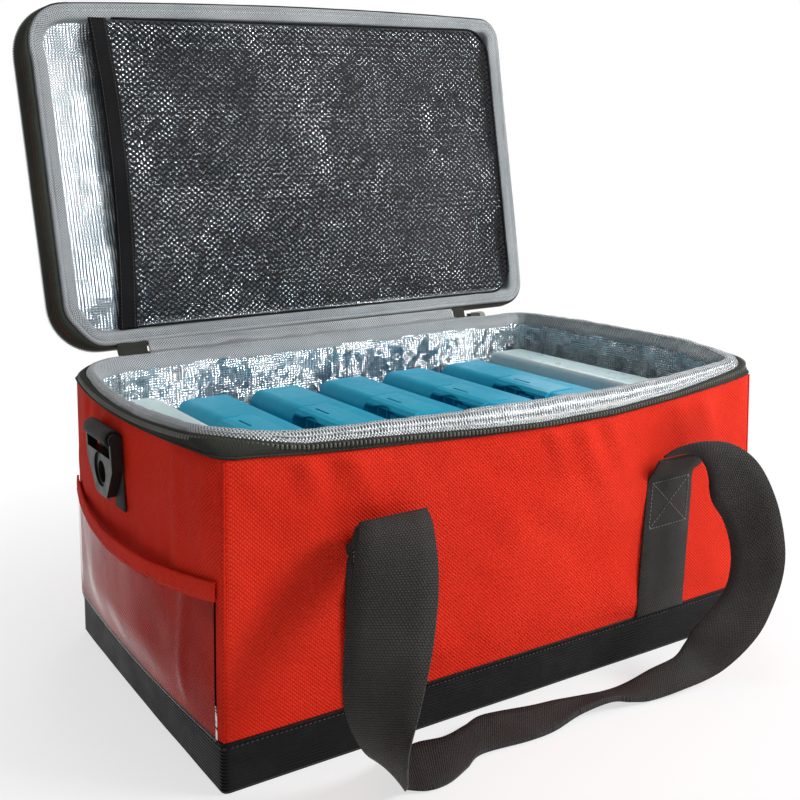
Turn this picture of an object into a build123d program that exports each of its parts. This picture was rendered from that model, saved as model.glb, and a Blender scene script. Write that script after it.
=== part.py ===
"""Insulated specimen transport bag with its lid open, five specimen cases and two cold plates inside.

Millimetres. Origin at the centre of the base's underside, +X along the front to the right,
+Y towards the hinge at the back, +Z up.
"""
from build123d import *
import math
import os

# ---------------------------------------------------------------- driving dimensions
BASE_LENGTH = 475.0
BASE_WIDTH = 294.0
SEAM_HEIGHT = 217.0          # red wall panels end here, at the zip tape
BAND_HEIGHT = 34.5           # black base band
END_TAPER = 10.5             # each end leans in by this much at the seam
FRONT_BOW = 17.0             # how far each wall bows out in its middle, at the seam
BACK_BOW = 3.0
END_BOW = 15.5
LEVELS = (0.0, 34.5, 80.0, 130.0, 175.0, 217.0)

SHELL = 1.2                  # sewn outer fabric
FOAM = 10.0
FOIL = 0.6
LAYER_GAP = 0.2              # air between sewn layers
FLOOR_BOARD = 2.8
ROLL_TOP = 232.0             # top of the padded rim roll
ROLL_BOTTOM = 219.0
ROLL_WIDTH = 9.5
TAPE_TOP = 228.0
TOOTH_HEIGHT = 2.4
RIM_RADIUS = 42.0            # the rim's rounded left corners
RIM_RADIUS_RIGHT = 19.0      # its tighter right corners

LID_ANGLE = 100.0            # how far the lid stands open
HINGE_Y = BASE_WIDTH / 2 + 6.0
HINGE_Z = 232.0
LID_FACE = 234.4             # inner face of the closed lid
LID_LENGTH = 285.0
LID_WIDTH = 475.0
LID_DEPTH = 21.6
LID_BOW = 4.0
LID_RADIUS = 20.0
LID_BORDER = 12.0
LID_RECESS = 11.4            # depth of the foil behind the lid's silver border
GUSSET_LEFT = -164.0
GUSSET_RIGHT = 148.0
SLIDER_X = 168.5

WEBBING = 50.0
WEBBING_THICK = 2.2
STRAP_X = (-125.0, 134.0)    # centres of the sewn straps
PIVOT_FRONT = (-172.0, 170.0)    # Y and Z of the front handle's fold
PIVOT_BACK = (161.0, 167.0)

CASE_WIDTH = 45.0
CASE_LENGTH = 234.0
CASE_BOTTOM = 16.2
CASE_TOP = 193.0
CASE_PITCH = 66.0
CASE_FIRST_X = -154.5        # left side of the first case
CASE_BACK_Y = 120.0
CASE_SHOULDER = 11.0         # radius of the upper left edge

PLATE_THICK = 34.0
PLATE_BACK_Y = 129.0
PLATE_LENGTH = 244.0
PLATE_TOP = 199.0
PLATE_X = (-206.0, 171.0)    # left sides of the two cold plates

RING_WIDTH = 56.0
RING_BAR = 3.8
RING_HOLE = 8.0
RING_THICK = 7.0
RING_BAR_Z = 203.0
RING_TAB = 48.0
RING_Y = 12.0                # the rings sit a little behind the middle of the ends

POCKET_TOP = 128.0           # lowest point of the document pocket's bound edge
POCKET_DIP = 660.0           # radius of the dip in that edge
POCKET_HEM = 12.5
POCKET_BULGE = 7.5

NET_PITCH_X = 24.0
NET_PITCH_Y = 22.0
NET_CORD = 3.0

BACK = BASE_WIDTH / 2
FRONT = -BASE_WIDTH / 2


# ---------------------------------------------------------------- helpers
def save(name, shape):
    """Write one named piece."""
    export_step(shape, f"parts/{name}.step")


def joined(solids):
    """Fuse a list of solids into one."""
    whole = solids[0]
    for extra in solids[1:]:
        whole = whole + extra
    return whole


def block(x, y, z):
    """A box from (low, high) pairs on each axis."""
    size = Box(x[1] - x[0], y[1] - y[0], z[1] - z[0])
    return Pos((x[0] + x[1]) / 2, (y[0] + y[1]) / 2, (z[0] + z[1]) / 2) * size


def polygon(points):
    """A flat face through the given points."""
    return Face(Wire.make_polygon([Vector(*p) for p in points], close=True))


def bows(z):
    """How far the front, back and end walls bow out at one of the levels."""
    k = max(z / SEAM_HEIGHT, 0.02)
    return FRONT_BOW * k ** 1.3, BACK_BOW * k, END_BOW * k ** 0.6


def plan(z):
    """Half length, half width and the three bows at height z, straight from level to level."""
    z = min(max(z, LEVELS[0]), LEVELS[-1])
    upper = [level for level in LEVELS[1:] if level >= z][0]
    lower = LEVELS[LEVELS.index(upper) - 1]
    share = (z - lower) / (upper - lower)
    front, back, end = [a + (b - a) * share for a, b in zip(bows(lower), bows(upper))]
    return BASE_LENGTH / 2 - END_TAPER * z / SEAM_HEIGHT, BASE_WIDTH / 2, front, back, end


def side_points(side, z, inset):
    """Start, middle and end of one wall's outline at height z, moved in by inset."""
    half_x, half_y, front_bow, back_bow, end_bow = plan(z)
    x = half_x - inset
    y = half_y - inset
    rows = {
        "front": ((-x, -y, z), (0, -y - front_bow, z), (x, -y, z)),
        "right": ((x, -y, z), (x + end_bow, 0, z), (x, y, z)),
        "back": ((x, y, z), (0, y + back_bow, z), (-x, y, z)),
        "left": ((-x, y, z), (-x - end_bow, 0, z), (-x, -y, z)),
    }
    return rows[side]


def levels_between(low, high):
    """Heights at which the walls change direction, from low to high."""
    inner = [z for z in LEVELS if low < z < high]
    return [low] + inner + [high]


def outline(z, inset):
    """The walls' bowed rectangle at height z, with sharp sewn corners."""
    edges = [ThreePointArc(*side_points(s, z, inset)) for s in ("front", "right", "back", "left")]
    return Face(Wire(edges))


def block_of_outline(inset, low, high):
    """The solid that fills the bag's plan from low to high."""
    return loft([outline(z, inset) for z in levels_between(low, high)], ruled=True)


def wall(side, inset, thickness, low, high):
    """One wall layer, mitred at both ends, following the bag's bows."""
    clear = 0.1 if side in ("left", "right") else 0.0
    sections = []
    for z in levels_between(low, high):
        a, middle, b = side_points(side, z, inset)
        c, inner, d = side_points(side, z, inset + thickness)
        a, b, c, d = [(p[0], p[1] - math.copysign(clear, p[1]), p[2]) for p in (a, b, c, d)]
        edges = [ThreePointArc(a, middle, b), Line(b, d), ThreePointArc(d, inner, c), Line(c, a)]
        sections.append(Face(Wire(edges)))
    return loft(sections, ruled=True)


def rounded_rim(z, inset, radius, radius_right=RIM_RADIUS_RIGHT):
    """The rim's plan with rounded corners, wider on the left than on the right."""
    face = outline(min(z, SEAM_HEIGHT), inset)
    for corner_radius, sign in ((radius, -1), (radius_right, 1)):
        corners = [v for v in face.vertices() if v.X * sign > 0 and abs(v.X) > BASE_LENGTH / 2 - 60]
        corners = sorted(corners, key=lambda v: -abs(v.X) - abs(v.Y))[:2]
        face = face.fillet_2d(corner_radius - inset, corners)
    return Pos(0, 0, z - min(z, SEAM_HEIGHT)) * face


def ring(z_low, z_high, outer, inner, radius):
    """An upright-sided ring that follows the rim."""
    face = rounded_rim(z_low, outer, radius) - rounded_rim(z_low, inner, radius)
    return extrude(face, z_high - z_low, dir=(0, 0, 1))


def front_wall_y(x, z):
    """Outer face of the front wall at x and z."""
    half_x, half_y, front_bow, back_bow, end_bow = plan(z)
    return -half_y - front_bow * (1 - (x / half_x) ** 2)


def back_wall_y(x, z):
    """Outer face of the back wall at x and z."""
    half_x, half_y, front_bow, back_bow, end_bow = plan(z)
    return half_y + back_bow * (1 - (x / half_x) ** 2)


def end_wall_x(z):
    """Outer face of an end wall at the middle of its length."""
    half_x, half_y, front_bow, back_bow, end_bow = plan(z)
    return half_x + end_bow


def ribbon(stations):
    """A webbing band lofted through (edge point, edge point, thickness) stations."""
    middles = [(Vector(*a) + Vector(*b)) * 0.5 for a, b, t in stations]
    sections = []
    for i, (a, b, thickness) in enumerate(stations):
        run = middles[min(i + 1, len(middles) - 1)] - middles[max(i - 1, 0)]
        across = Vector(*b) - Vector(*a)
        lift = across.cross(run).normalized() * (thickness / 2)
        corners = [Vector(*a) + lift, Vector(*b) + lift, Vector(*b) - lift, Vector(*a) - lift]
        sections.append(Face(Wire.make_polygon(corners, close=True)))
    return loft(sections, ruled=True)


# ---------------------------------------------------------------- bag body
def bag_walls():
    """Red fabric panels, one to a side, and the foam boards behind them."""
    for side in ("front", "right", "back", "left"):
        save(f"panel_{side}", wall(side, 0.0, SHELL, BAND_HEIGHT + 0.2, SEAM_HEIGHT))
        save(f"foam_{side}", wall(side, 1.6, FOAM, 5.0, 214.0))


def base_parts():
    """Ribbed vinyl band and sole, the stiff board and the bottom foam."""
    band = block_of_outline(-0.3, 0.0, BAND_HEIGHT) - block_of_outline(1.5, -1.0, BAND_HEIGHT + 1.0)
    save("base_band", band)
    save("base_sole", block_of_outline(1.7, 0.0, 1.6))
    save("base_board", block_of_outline(2.0, 1.8, 1.8 + FLOOR_BOARD))
    save("foam_bottom", block_of_outline(1.8 + FOAM, 5.0, 15.0))


def foil_liner():
    """Welded foil tub that lines the foam."""
    inset = 1.6 + FOAM + LAYER_GAP
    tub = block_of_outline(inset, 15.2, ROLL_BOTTOM - 0.4)
    save("foil_liner", tub - block_of_outline(inset + FOIL, 15.2 + FOIL, ROLL_BOTTOM + 2.0))


def rim_parts():
    """Zip tape that draws the sharp seam in to the rounded rim, its chain, and the padded roll."""
    outside = loft([rounded_rim(SEAM_HEIGHT, -0.6, 9.0, 9.0), rounded_rim(TAPE_TOP, -0.6, RIM_RADIUS)], ruled=True)
    inside = loft([rounded_rim(SEAM_HEIGHT, 1.0, 9.0, 9.0), rounded_rim(TAPE_TOP, 1.0, RIM_RADIUS)], ruled=True)
    save("rim_tape", outside - inside)
    chain = ring(TAPE_TOP + 0.1, TAPE_TOP + 0.1 + TOOTH_HEIGHT, -0.8, 2.2, RIM_RADIUS)
    rear = block((GUSSET_LEFT - 26.6, GUSSET_RIGHT + 15), (BACK - 30, BACK + 30), (220, 240))
    save("rim_chain", chain - rear)
    roll = ring(ROLL_BOTTOM, ROLL_TOP, 5.0, 5.0 + ROLL_WIDTH, RIM_RADIUS)
    top = roll.edges().group_by(Axis.Z)[-1]
    save("rim_roll", fillet(top, 4.2))


def sewn_strap(x, wall_y, outward, pivot):
    """A strap sewn flat to a wall, whose free end rises to the handle's fold."""
    half = WEBBING / 2
    stations = []
    for z in (BAND_HEIGHT + 0.4, 80.0, 130.0, 148.0):
        left = (x - half, wall_y(x - half, z) + outward * 1.5, z)
        right = (x + half, wall_y(x + half, z) + outward * 1.5, z)
        stations.append((left, right, WEBBING_THICK))
    reach = pivot[0] - wall_y(x, 148.0)
    for share, z in ((0.45, 156.0), (0.8, pivot[1] - 4.0)):
        y = wall_y(x, 148.0) + reach * share
        stations.append(((x - half, y, z), (x + half, y, z), WEBBING_THICK))
    return ribbon(stations)


def straps():
    """The four sewn straps that carry the two handles."""
    for name, wall_y, outward, pivot in (
        ("front", front_wall_y, -1, PIVOT_FRONT),
        ("back", back_wall_y, 1, PIVOT_BACK),
    ):
        for label, x in zip(("left", "right"), STRAP_X):
            save(f"strap_{name}_{label}", sewn_strap(x, wall_y, outward, pivot))


def end_sheet(inner_gap, thickness, trim):
    """A sheet that stands off the left end, closed to the wall at its sides and bottom."""
    sections = []
    for z, bulge in ((34.9, 0.0), (50.0, 4.5), (80.0, POCKET_BULGE), (130.0, POCKET_BULGE), (150.0, POCKET_BULGE)):
        a, middle, b = side_points("left", z, -inner_gap - thickness)
        c, inner, d = side_points("left", z, -inner_gap)
        a, c = [(p[0], p[1] - trim, p[2]) for p in (a, c)]
        b, d = [(p[0], p[1] + trim, p[2]) for p in (b, d)]
        middle, inner = [(p[0] - bulge, p[1], p[2]) for p in (middle, inner)]
        edges = [ThreePointArc(a, middle, b), Line(b, d), ThreePointArc(d, inner, c), Line(c, a)]
        sections.append(Face(Wire(edges)))
    return loft(sections, ruled=True)


def document_pocket():
    """Clear film pocket on the left end, with the bound top edge that dips in the middle."""
    def dip(depth):
        return Pos(-BASE_LENGTH / 2, 0, POCKET_TOP + POCKET_DIP) * Rot(0, 90, 0) * Cylinder(POCKET_DIP + depth, 80.0)
    save("pocket_film", end_sheet(1.2, 0.8, 4.0) - dip(POCKET_HEM + 0.2))
    save("pocket_binding", (end_sheet(1.0, 2.0, 3.5) & dip(POCKET_HEM)) - dip(0.0))


# ---------------------------------------------------------------- strap rings
def ring_place():
    """Outward distance of the ring's bar from the middle plane."""
    return end_wall_x(RING_BAR_Z) + 0.8 + 2.0 + RING_BAR + 0.6


def strap_ring():
    """Moulded ring at the right end: bar, webbing slot, tapered plate and hook hole."""
    x = ring_place()
    half = RING_WIDTH / 2
    top = RING_BAR_Z
    shield = polygon([
        (0, -half, top), (0, half, top), (0, half, top - 22), (0, 11, top - 45), (0, -11, top - 45), (0, -half, top - 22),
    ])
    plate = extrude(Pos(x - RING_THICK / 2, 0, 0) * shield, RING_THICK, dir=(1, 0, 0))
    plate = fillet(plate.edges().filter_by(Axis.X), 3.0)
    slot_half = RING_TAB / 2 + 1.0
    plate = plate - block((x - 9, x + 9), (-slot_half, slot_half), (top - 13.5, top + 9))
    hook = Pos(x, 0, top - 28) * Rot(0, 90, 0) * Cylinder(RING_HOLE, RING_THICK * 3)
    face = Pos(x + RING_THICK / 2, 0, top - 26) * Rot(0, 90, 0) * Cylinder(RING_HOLE + 4.5, 3.0)
    plate = plate - hook - face
    plate = plate + (Pos(x, 0, top) * Rot(90, 0, 0) * Cylinder(RING_BAR, RING_WIDTH - 2))
    for end in (-1, 1):
        plate = plate + (Pos(x, end * (slot_half + half) / 2, top) * Rot(90, 0, 0) * Cylinder(4.4, half - slot_half))
    return plate


def ring_tab():
    """Webbing looped round the ring's bar, with its tail sewn down the end wall."""
    x = ring_place()
    inner = RING_BAR + 0.6
    outer = inner + 2.0
    sleeve = Rot(90, 0, 0) * Cylinder(outer, RING_TAB) - Rot(90, 0, 0) * Cylinder(inner, RING_TAB + 2)
    sleeve = Pos(x, 0, RING_BAR_Z) * sleeve
    tail = block((x - outer, x - inner), (-RING_TAB / 2, RING_TAB / 2), (148.0, RING_BAR_Z))
    return sleeve + tail


def rings():
    """A ring and its tab at each end, mirrored."""
    for name, turn in (("right", 0), ("left", 180)):
        save(f"ring_{name}", Pos(0, RING_Y, 0) * Rot(0, 0, turn) * strap_ring())
        save(f"ring_tab_{name}", Pos(0, RING_Y, 0) * Rot(0, 0, turn) * ring_tab())


# ---------------------------------------------------------------- lid, drawn closed and turned open
def opened(shape):
    """Turn a piece of the closed lid to the angle at which it stands open."""
    return Pos(0, HINGE_Y, HINGE_Z) * Rot(-LID_ANGLE, 0, 0) * Pos(0, -HINGE_Y, -HINGE_Z) * shape


def lid_plan(inset, z):
    """The lid's rounded plan at height z above its inner face."""
    x = LID_WIDTH / 2 - inset
    rear = BACK - 1.0 - inset
    front = rear - LID_LENGTH + 2 * inset
    arc = ThreePointArc((x, front), (0, front - LID_BOW), (-x, front))
    face = Face(Wire([Line((-x, front), (-x, rear)), Line((-x, rear), (x, rear)), Line((x, rear), (x, front)), arc]))
    face = face.fillet_2d(LID_RADIUS - inset, face.vertices())
    return Pos(0, 0, LID_FACE + z) * face


def lid_slab(inset, low, high):
    """A slab of the lid's plan."""
    return extrude(lid_plan(inset, low), high - low, dir=(0, 0, 1))


def lid_ring(outer, inner, low, high):
    """A ring along the lid's edge."""
    return lid_slab(outer, low, high) - lid_slab(inner, low - 1, high + 1)


def lid_shell():
    """Red cover, foam core, foil face and silver border."""
    outer = lid_slab(0.0, 1.0, LID_DEPTH)
    outer = fillet(outer.edges().group_by(Axis.Z)[-1], 5.0)
    inner = lid_slab(1.3, 0.0, LID_DEPTH - 1.3)
    inner = fillet(inner.edges().group_by(Axis.Z)[-1], 4.0)
    save("lid_cover", opened(outer - inner))
    core = lid_slab(1.6, LID_RECESS + 0.8, LID_DEPTH - 1.6)
    core = fillet(core.edges().group_by(Axis.Z)[-1], 4.2)
    save("lid_foam", opened(core))
    save("lid_foil", opened(lid_slab(1.6, LID_RECESS, LID_RECESS + FOIL)))
    border = lid_ring(1.5, 1.5 + LID_BORDER, 0.0, LID_RECESS - 0.2)
    border = fillet(border.edges().group_by(Axis.Z)[0], 1.8)
    save("lid_border", opened(border))


def lid_zip():
    """Zip tape turned back over the lid's side, with its chain at the far edge."""
    rear = block((GUSSET_LEFT - 2, GUSSET_RIGHT + 18), (BACK - 20, BACK + 10), (LID_FACE - 2, LID_FACE + 30))
    save("lid_tape", opened(lid_ring(-1.2, -0.1, 1.5, 13.5) - rear))
    save("lid_chain", opened(lid_ring(-2.4, -0.1, 13.7, 13.7 + TOOTH_HEIGHT) - rear))


def net_holes(left, right, rear, front):
    """Diamond gaps in staggered rows, clear of the net's edges and of its rounded corners."""
    holes = []
    half_x = (NET_PITCH_X - NET_CORD) / 2
    half_y = (NET_PITCH_Y - NET_CORD) / 2
    rows = int((rear - front) / (NET_PITCH_Y / 2)) - 1
    for row in range(rows):
        y = front + NET_PITCH_Y / 2 * (row + 1)
        start = left + NET_PITCH_X / 2 * (1 + row % 2)
        count = int((right - start) / NET_PITCH_X)
        for column in range(count):
            x = start + NET_PITCH_X * column
            corner = right - x + min(y - front, rear - y)
            if corner > NET_PITCH_X:
                holes.append([(x - half_x, y), (x, y - half_y), (x + half_x, y), (x, y + half_y)])
    return holes


def lid_net():
    """Mesh pocket across the lid, sewn on three sides and bound along its open left edge."""
    edge = 1.5 + LID_BORDER + 0.2
    left = -LID_WIDTH / 2 + 62.0
    right = LID_WIDTH / 2 - edge
    rear = BACK - 1.0 - edge
    front = BACK - 1.0 - LID_LENGTH + edge
    z = LID_FACE + 1.0
    sheet = lid_plan(edge, 1.0) & polygon([(left, front - 20, z), (right + 9, front - 20, z),
                                           (right + 9, rear + 9, z), (left, rear + 9, z)])
    gaps = []
    for hole in net_holes(left + 2, right - 2, rear - 2, front + 2):
        gaps.append(Wire.make_polygon([Vector(px, py, z) for px, py in hole], close=True))
    sheet = sheet.faces()[0].make_holes(gaps)
    save("lid_net", opened(extrude(sheet, 0.8, dir=(0, 0, 1))))
    binding = block((left - 10.2, left - 0.1), (front + 0.3, rear - 0.3), (z - 0.7, z + 1.5))
    save("net_binding", opened(fillet(binding.edges().filter_by(Axis.Y), 0.7)))


def gusset():
    """Two folds of lining that meet along the hinge, and the zip's end patches beside them."""
    def leaf(x_low, x_high, upper):
        tilt = 14.0 if upper else -14.0
        strip = block((x_low, x_high), (-6.6, -2.9), (-0.5, 0.5))
        return Pos(0, HINGE_Y, HINGE_Z) * Rot(-tilt, 0, 0) * strip

    def patches(upper):
        return leaf(-190.0, GUSSET_LEFT - 0.4, upper) + leaf(GUSSET_RIGHT + 0.4, 161.5, upper)
    save("gusset_lower", leaf(GUSSET_LEFT, GUSSET_RIGHT, False))
    save("gusset_upper", opened(leaf(GUSSET_LEFT, GUSSET_RIGHT, True)))
    save("zip_ends_lower", patches(False))
    save("zip_ends_upper", opened(patches(True)))


# ---------------------------------------------------------------- zip slider
def slider_parts():
    """Slider straddling the chain at its rear end, and the moulded pull on it."""
    y = back_wall_y(SLIDER_X, SEAM_HEIGHT)
    pin = (SLIDER_X - 3.0, y + 5.2)
    body = block((SLIDER_X - 5.5, SLIDER_X + 5.5), (y - 3.4, y + 2.6), (225.4, 233.4))
    chain_way = block((SLIDER_X - 19, SLIDER_X + 22), (y - 2.7, y + 1.4), (TAPE_TOP - 0.4, TAPE_TOP + 3.0))
    tape_way = block((SLIDER_X - 19, SLIDER_X + 22), (y - 2.0, y + 1.4), (220.0, TAPE_TOP))
    body = body - chain_way - tape_way
    lug = Pos(pin[0], pin[1], 228.2) * Cylinder(1.0, 9.0)
    arms = [block((pin[0] - 1.1, pin[0] + 1.1), (y + 2.4, y + 6.2), z) for z in ((223.7, 226.0), (230.8, 232.7))]
    save("zip_slider", joined([body, lug] + arms))
    grip = block((pin[0] + 1.2, pin[0] + 20.5), (pin[1] - 0.9, pin[1] + 0.9), (222.8, 233.6))
    ends = grip.edges().filter_by(Axis.Y).sort_by(Axis.X)[-2:]
    grip = fillet(ends, 5.0)
    grip = grip - block((160, pin[0] + 4.0), (y, y + 20), (230.4, 240))
    grip = grip - block((160, pin[0] + 4.0), (y, y + 20), (215, 226.4))
    grip = grip + Pos(pin[0], pin[1], 228.4) * Cylinder(2.0, 3.8)
    save("zip_pull", grip - Pos(pin[0], pin[1], 228.2) * Cylinder(1.4, 30.0))


# ---------------------------------------------------------------- handles
def fold_roll(x, pivot):
    """Rounded end of a handle arm, on the fold line."""
    return Pos(x, pivot[0], pivot[1]) * Rot(0, 90, 0) * Cylinder(WEBBING_THICK / 2 + 0.4, WEBBING)


def handle_front():
    """Front handle as it lies: arms bulge forward and the folded grip rests on the floor."""
    thick = WEBBING_THICK
    double = 2 * WEBBING_THICK
    y, z = PIVOT_FRONT
    stations = [
        ((-150, y, z), (-100, y, z), thick),
        ((-155, -179, 163), (-105, -187, 163), thick),
        ((-166, -188, 140), (-118, -212, 140), thick),
        ((-177, -199, 108), (-134, -230, 108), thick),
        ((-181, -204, 70), (-150, -240, 76), thick),
        ((-168, -201, 38), (-160, -243, 52), thick),
        ((-148, -188, 16), (-153, -229, 20), thick),
        ((-129, -173, 6.0), (-141, -210, 5.0), thick),
        ((-109, -170, 6.5), (-128, -214, 2.0), thick),
        ((-90, -175, 7.5), (-112, -214, 1.6), thick),
        ((-72, -173, 8.5), (-92, -206, 1.8), 1.5 * thick),
        ((-54, -170, 9.5), (-74, -198, 2.6), double),
        ((-17, -176, 8.0), (-38, -202, 2.6), double),
        ((4, -178, 7.0), (-15, -202, 3.0), double),
        ((26, -180, 4.6), (12, -198, 6.0), double),
        ((47, -184, 4.0), (36, -202, 10.0), double),
        ((64, -187, 7.0), (53, -205, 6.0), double),
        ((85, -190, 14), (70, -208, 2.8), double),
        ((103, -197, 23), (99, -211, 3.4), 1.5 * thick),
        ((110, -200, 33), (138, -212, 8), thick),
        ((116, -202, 43), (156, -227, 36), thick),
        ((130, -203, 54), (170, -230, 61), thick),
        ((147, -202, 67), (181, -228, 83), thick),
        ((156, -199, 84), (187, -222, 105), thick),
        ((159, -194, 101), (187, -212, 134), thick),
        ((155, -190, 118), (178, -201, 161), thick),
        ((148, -185, 132), (161, -191, 176), thick),
        ((149, -180, 147), (138, -184, 180), thick),
        ((156, -175, 161), (119, -178, 177), thick),
        ((159, y, z), (109, y, z), thick),
    ]
    arms = [fold_roll(x, PIVOT_FRONT) for x in STRAP_X]
    return joined([ribbon(stations)] + arms)


def handle_back():
    """Back handle hanging in a U down the back wall, its grip folded to half width."""
    thick = WEBBING_THICK
    y, z = PIVOT_BACK
    left, right = STRAP_X
    half = WEBBING / 2
    away = y + 4.0
    stations = [
        ((left - half, y, z), (left + half, y, z), thick),
        ((left - half, away, z - 8), (left + half, away, z - 8), thick),
        ((left - half, away, 90), (left + half, away, 90), thick),
        ((left - half + 2, away, 52), (left + half, away, 60), thick),
        ((left - half + 14, away, 20), (left + half + 4, away, 44), thick),
        ((left + 20, away, 6), (left + half + 18, away, 33), double_grip()),
        ((left + 60, away, 3), (left + 60, away, 28), double_grip()),
        ((0, away, 3), (0, away, 28), double_grip()),
        ((right - 60, away, 3), (right - 60, away, 28), double_grip()),
        ((right - 20, away, 6), (right - half - 18, away, 33), double_grip()),
        ((right + half - 14, away, 20), (right - half - 4, away, 44), thick),
        ((right + half - 2, away, 52), (right - half, away, 60), thick),
        ((right + half, away, 90), (right - half, away, 90), thick),
        ((right + half, away, z - 8), (right - half, away, z - 8), thick),
        ((right + half, y, z), (right - half, y, z), thick),
    ]
    arms = [fold_roll(x, PIVOT_BACK) for x in STRAP_X]
    return joined([ribbon(stations)] + arms)


def double_grip():
    """Thickness of the grip, where the webbing is folded in two."""
    return 2 * WEBBING_THICK


# ---------------------------------------------------------------- contents
LATCH_LOW_Y = -34.0
LATCH_HIGH_Y = 36.0
RECESS_Y = (-20.0, 40.0)


def case_block(x, grow):
    """Outer form of a case: a slim block with a round shoulder on its left."""
    size_x = (x - grow, x + CASE_WIDTH + grow)
    body = block(size_x, (CASE_BACK_Y - CASE_LENGTH - grow, CASE_BACK_Y + grow), (CASE_BOTTOM, CASE_TOP + grow))
    along = body.edges().filter_by(Axis.Y).group_by(Axis.Z)[-1].sort_by(Axis.X)
    body = fillet(along[0], CASE_SHOULDER + grow)
    along = body.edges().filter_by(Axis.Y).group_by(Axis.Z)[-1].sort_by(Axis.X)
    return fillet(along[-1], 2.5 + grow)


def case_body(x):
    """Moulded case on edge, with a ribbed finger recess under its latch and a raised line beside it."""
    body = case_block(x, 0.0)
    body = chamfer(body.faces().sort_by(Axis.Y)[-1].edges(), 1.6)
    line = block((x - 2, x + 20), (LATCH_HIGH_Y + 0.6, LATCH_HIGH_Y + 2.6), (CASE_TOP - 13, CASE_TOP + 2))
    body = body + (case_block(x, 1.2) & line)
    seat = extrude(latch_profile(x, 0.15), LATCH_HIGH_Y - LATCH_LOW_Y + 0.3, dir=(0, 1, 0))
    recess = block((x - 2, x + 15), RECESS_Y, (CASE_TOP - 27, CASE_TOP - 4.5))
    recess = fillet(recess.edges().filter_by(Axis.X), 5.0)
    body = body - seat - recess
    for y in (27.0, 13.0):
        body = body + block((x + 6, x + 16), (y - 0.8, y + 0.8), (CASE_TOP - 28, CASE_TOP - 7))
    return body + block((x + 5, x + 16), (-9.0, 6.0), (CASE_TOP - 20, CASE_TOP - 8))


def latch_profile(x, extra):
    """Section of the latch flap, which overhangs the case's shoulder."""
    top = CASE_TOP
    y = LATCH_LOW_Y - extra
    return polygon([
        (x + 30 + extra, y, top + 0.9), (x + 9, y, top + 0.9), (x + 4, y, top - 0.2), (x + 0.4 - extra, y, top - 3.0),
        (x + 0.8 - extra, y, top - 5.2 - extra), (x + 4.6, y, top - 2.6 - extra), (x + 9.6, y, top - 1.4 - extra),
        (x + 30 + extra, y, top - 1.4 - extra),
    ])


def case_latch(x):
    """Latch flap with an arched lip over the finger recess and a slot in its top."""
    flap = extrude(latch_profile(x, 0.0), LATCH_HIGH_Y - LATCH_LOW_Y, dir=(0, 1, 0))
    arch = Pos(x, 8.0, CASE_TOP - 41.4) * Rot(0, 90, 0) * Cylinder(40.0, 18.0)
    slot = block((x + 12, x + 14.4), (2.0, 24.0), (CASE_TOP - 3, CASE_TOP + 3))
    return flap - arch - slot


def cold_plate(x):
    """Moulded cold plate with rounded corners and a shallow panel in each broad face."""
    y_low = PLATE_BACK_Y - PLATE_LENGTH
    plate = block((x, x + PLATE_THICK), (y_low, PLATE_BACK_Y), (CASE_BOTTOM, PLATE_TOP))
    plate = fillet(plate.edges().filter_by(Axis.X), 14.0)
    plate = fillet(plate.faces().filter_by(Axis.X).edges(), 4.0)
    for side_x in (x, x + PLATE_THICK):
        panel = block((side_x - 1.2, side_x + 1.2), (y_low + 22, PLATE_BACK_Y - 22), (CASE_BOTTOM + 20, PLATE_TOP - 22))
        plate = plate - fillet(panel.edges().filter_by(Axis.X), 8.0)
    return plate


def contents():
    """Five specimen cases between two cold plates."""
    for number in range(5):
        x = CASE_FIRST_X + CASE_PITCH * number
        save(f"case_{number + 1}", case_body(x))
        save(f"case_{number + 1}_latch", case_latch(x))
    for name, x in zip(("left", "right"), PLATE_X):
        save(f"cold_plate_{name}", cold_plate(x))


def main():
    """Build and write every piece."""
    os.makedirs("parts", exist_ok=True)
    bag_walls()
    base_parts()
    foil_liner()
    rim_parts()
    straps()
    document_pocket()
    rings()
    lid_shell()
    lid_zip()
    lid_net()
    gusset()
    slider_parts()
    save("handle_front", handle_front())
    save("handle_back", handle_back())
    contents()


main()
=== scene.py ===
"""Looks of the insulated specimen bag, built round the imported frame. Lengths are millimetres until a mesh is made."""
import math

import bpy
import numpy as np
from mathutils import Matrix, Vector


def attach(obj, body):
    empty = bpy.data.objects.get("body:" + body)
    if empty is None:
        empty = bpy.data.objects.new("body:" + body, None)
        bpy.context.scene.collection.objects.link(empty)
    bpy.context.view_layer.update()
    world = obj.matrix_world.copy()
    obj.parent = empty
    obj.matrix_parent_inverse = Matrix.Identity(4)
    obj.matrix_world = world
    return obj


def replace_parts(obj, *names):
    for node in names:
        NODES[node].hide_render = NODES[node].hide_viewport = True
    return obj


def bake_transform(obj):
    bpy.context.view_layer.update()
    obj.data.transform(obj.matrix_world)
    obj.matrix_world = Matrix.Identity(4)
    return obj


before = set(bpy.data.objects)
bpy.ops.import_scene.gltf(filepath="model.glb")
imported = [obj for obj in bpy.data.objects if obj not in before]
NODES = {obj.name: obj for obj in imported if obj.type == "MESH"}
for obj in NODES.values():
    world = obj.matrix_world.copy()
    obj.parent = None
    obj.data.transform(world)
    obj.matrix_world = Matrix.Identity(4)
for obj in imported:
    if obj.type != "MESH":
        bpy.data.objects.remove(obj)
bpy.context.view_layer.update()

# ---- the bag's own shape, as in the CAD source
SEAM, RIM_TOP = 217.0, 228.0        # top seam of the walls, and top of the zip tape
HALF_LENGTH, HALF_WIDTH, TAPER = 237.5, 147.0, 10.5
LEVELS = (0.0, 34.5, 80.0, 130.0, 175.0, SEAM)
CORNER = 4.5                        # corner radius of the walls' cloth
WALL_POINTS = (120, 76, 120, 76)    # points along the front, right, back and left
CORNER_POINTS = 8
HINGE = (153.0, 232.0)              # y and z of the lid's fold line
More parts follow.
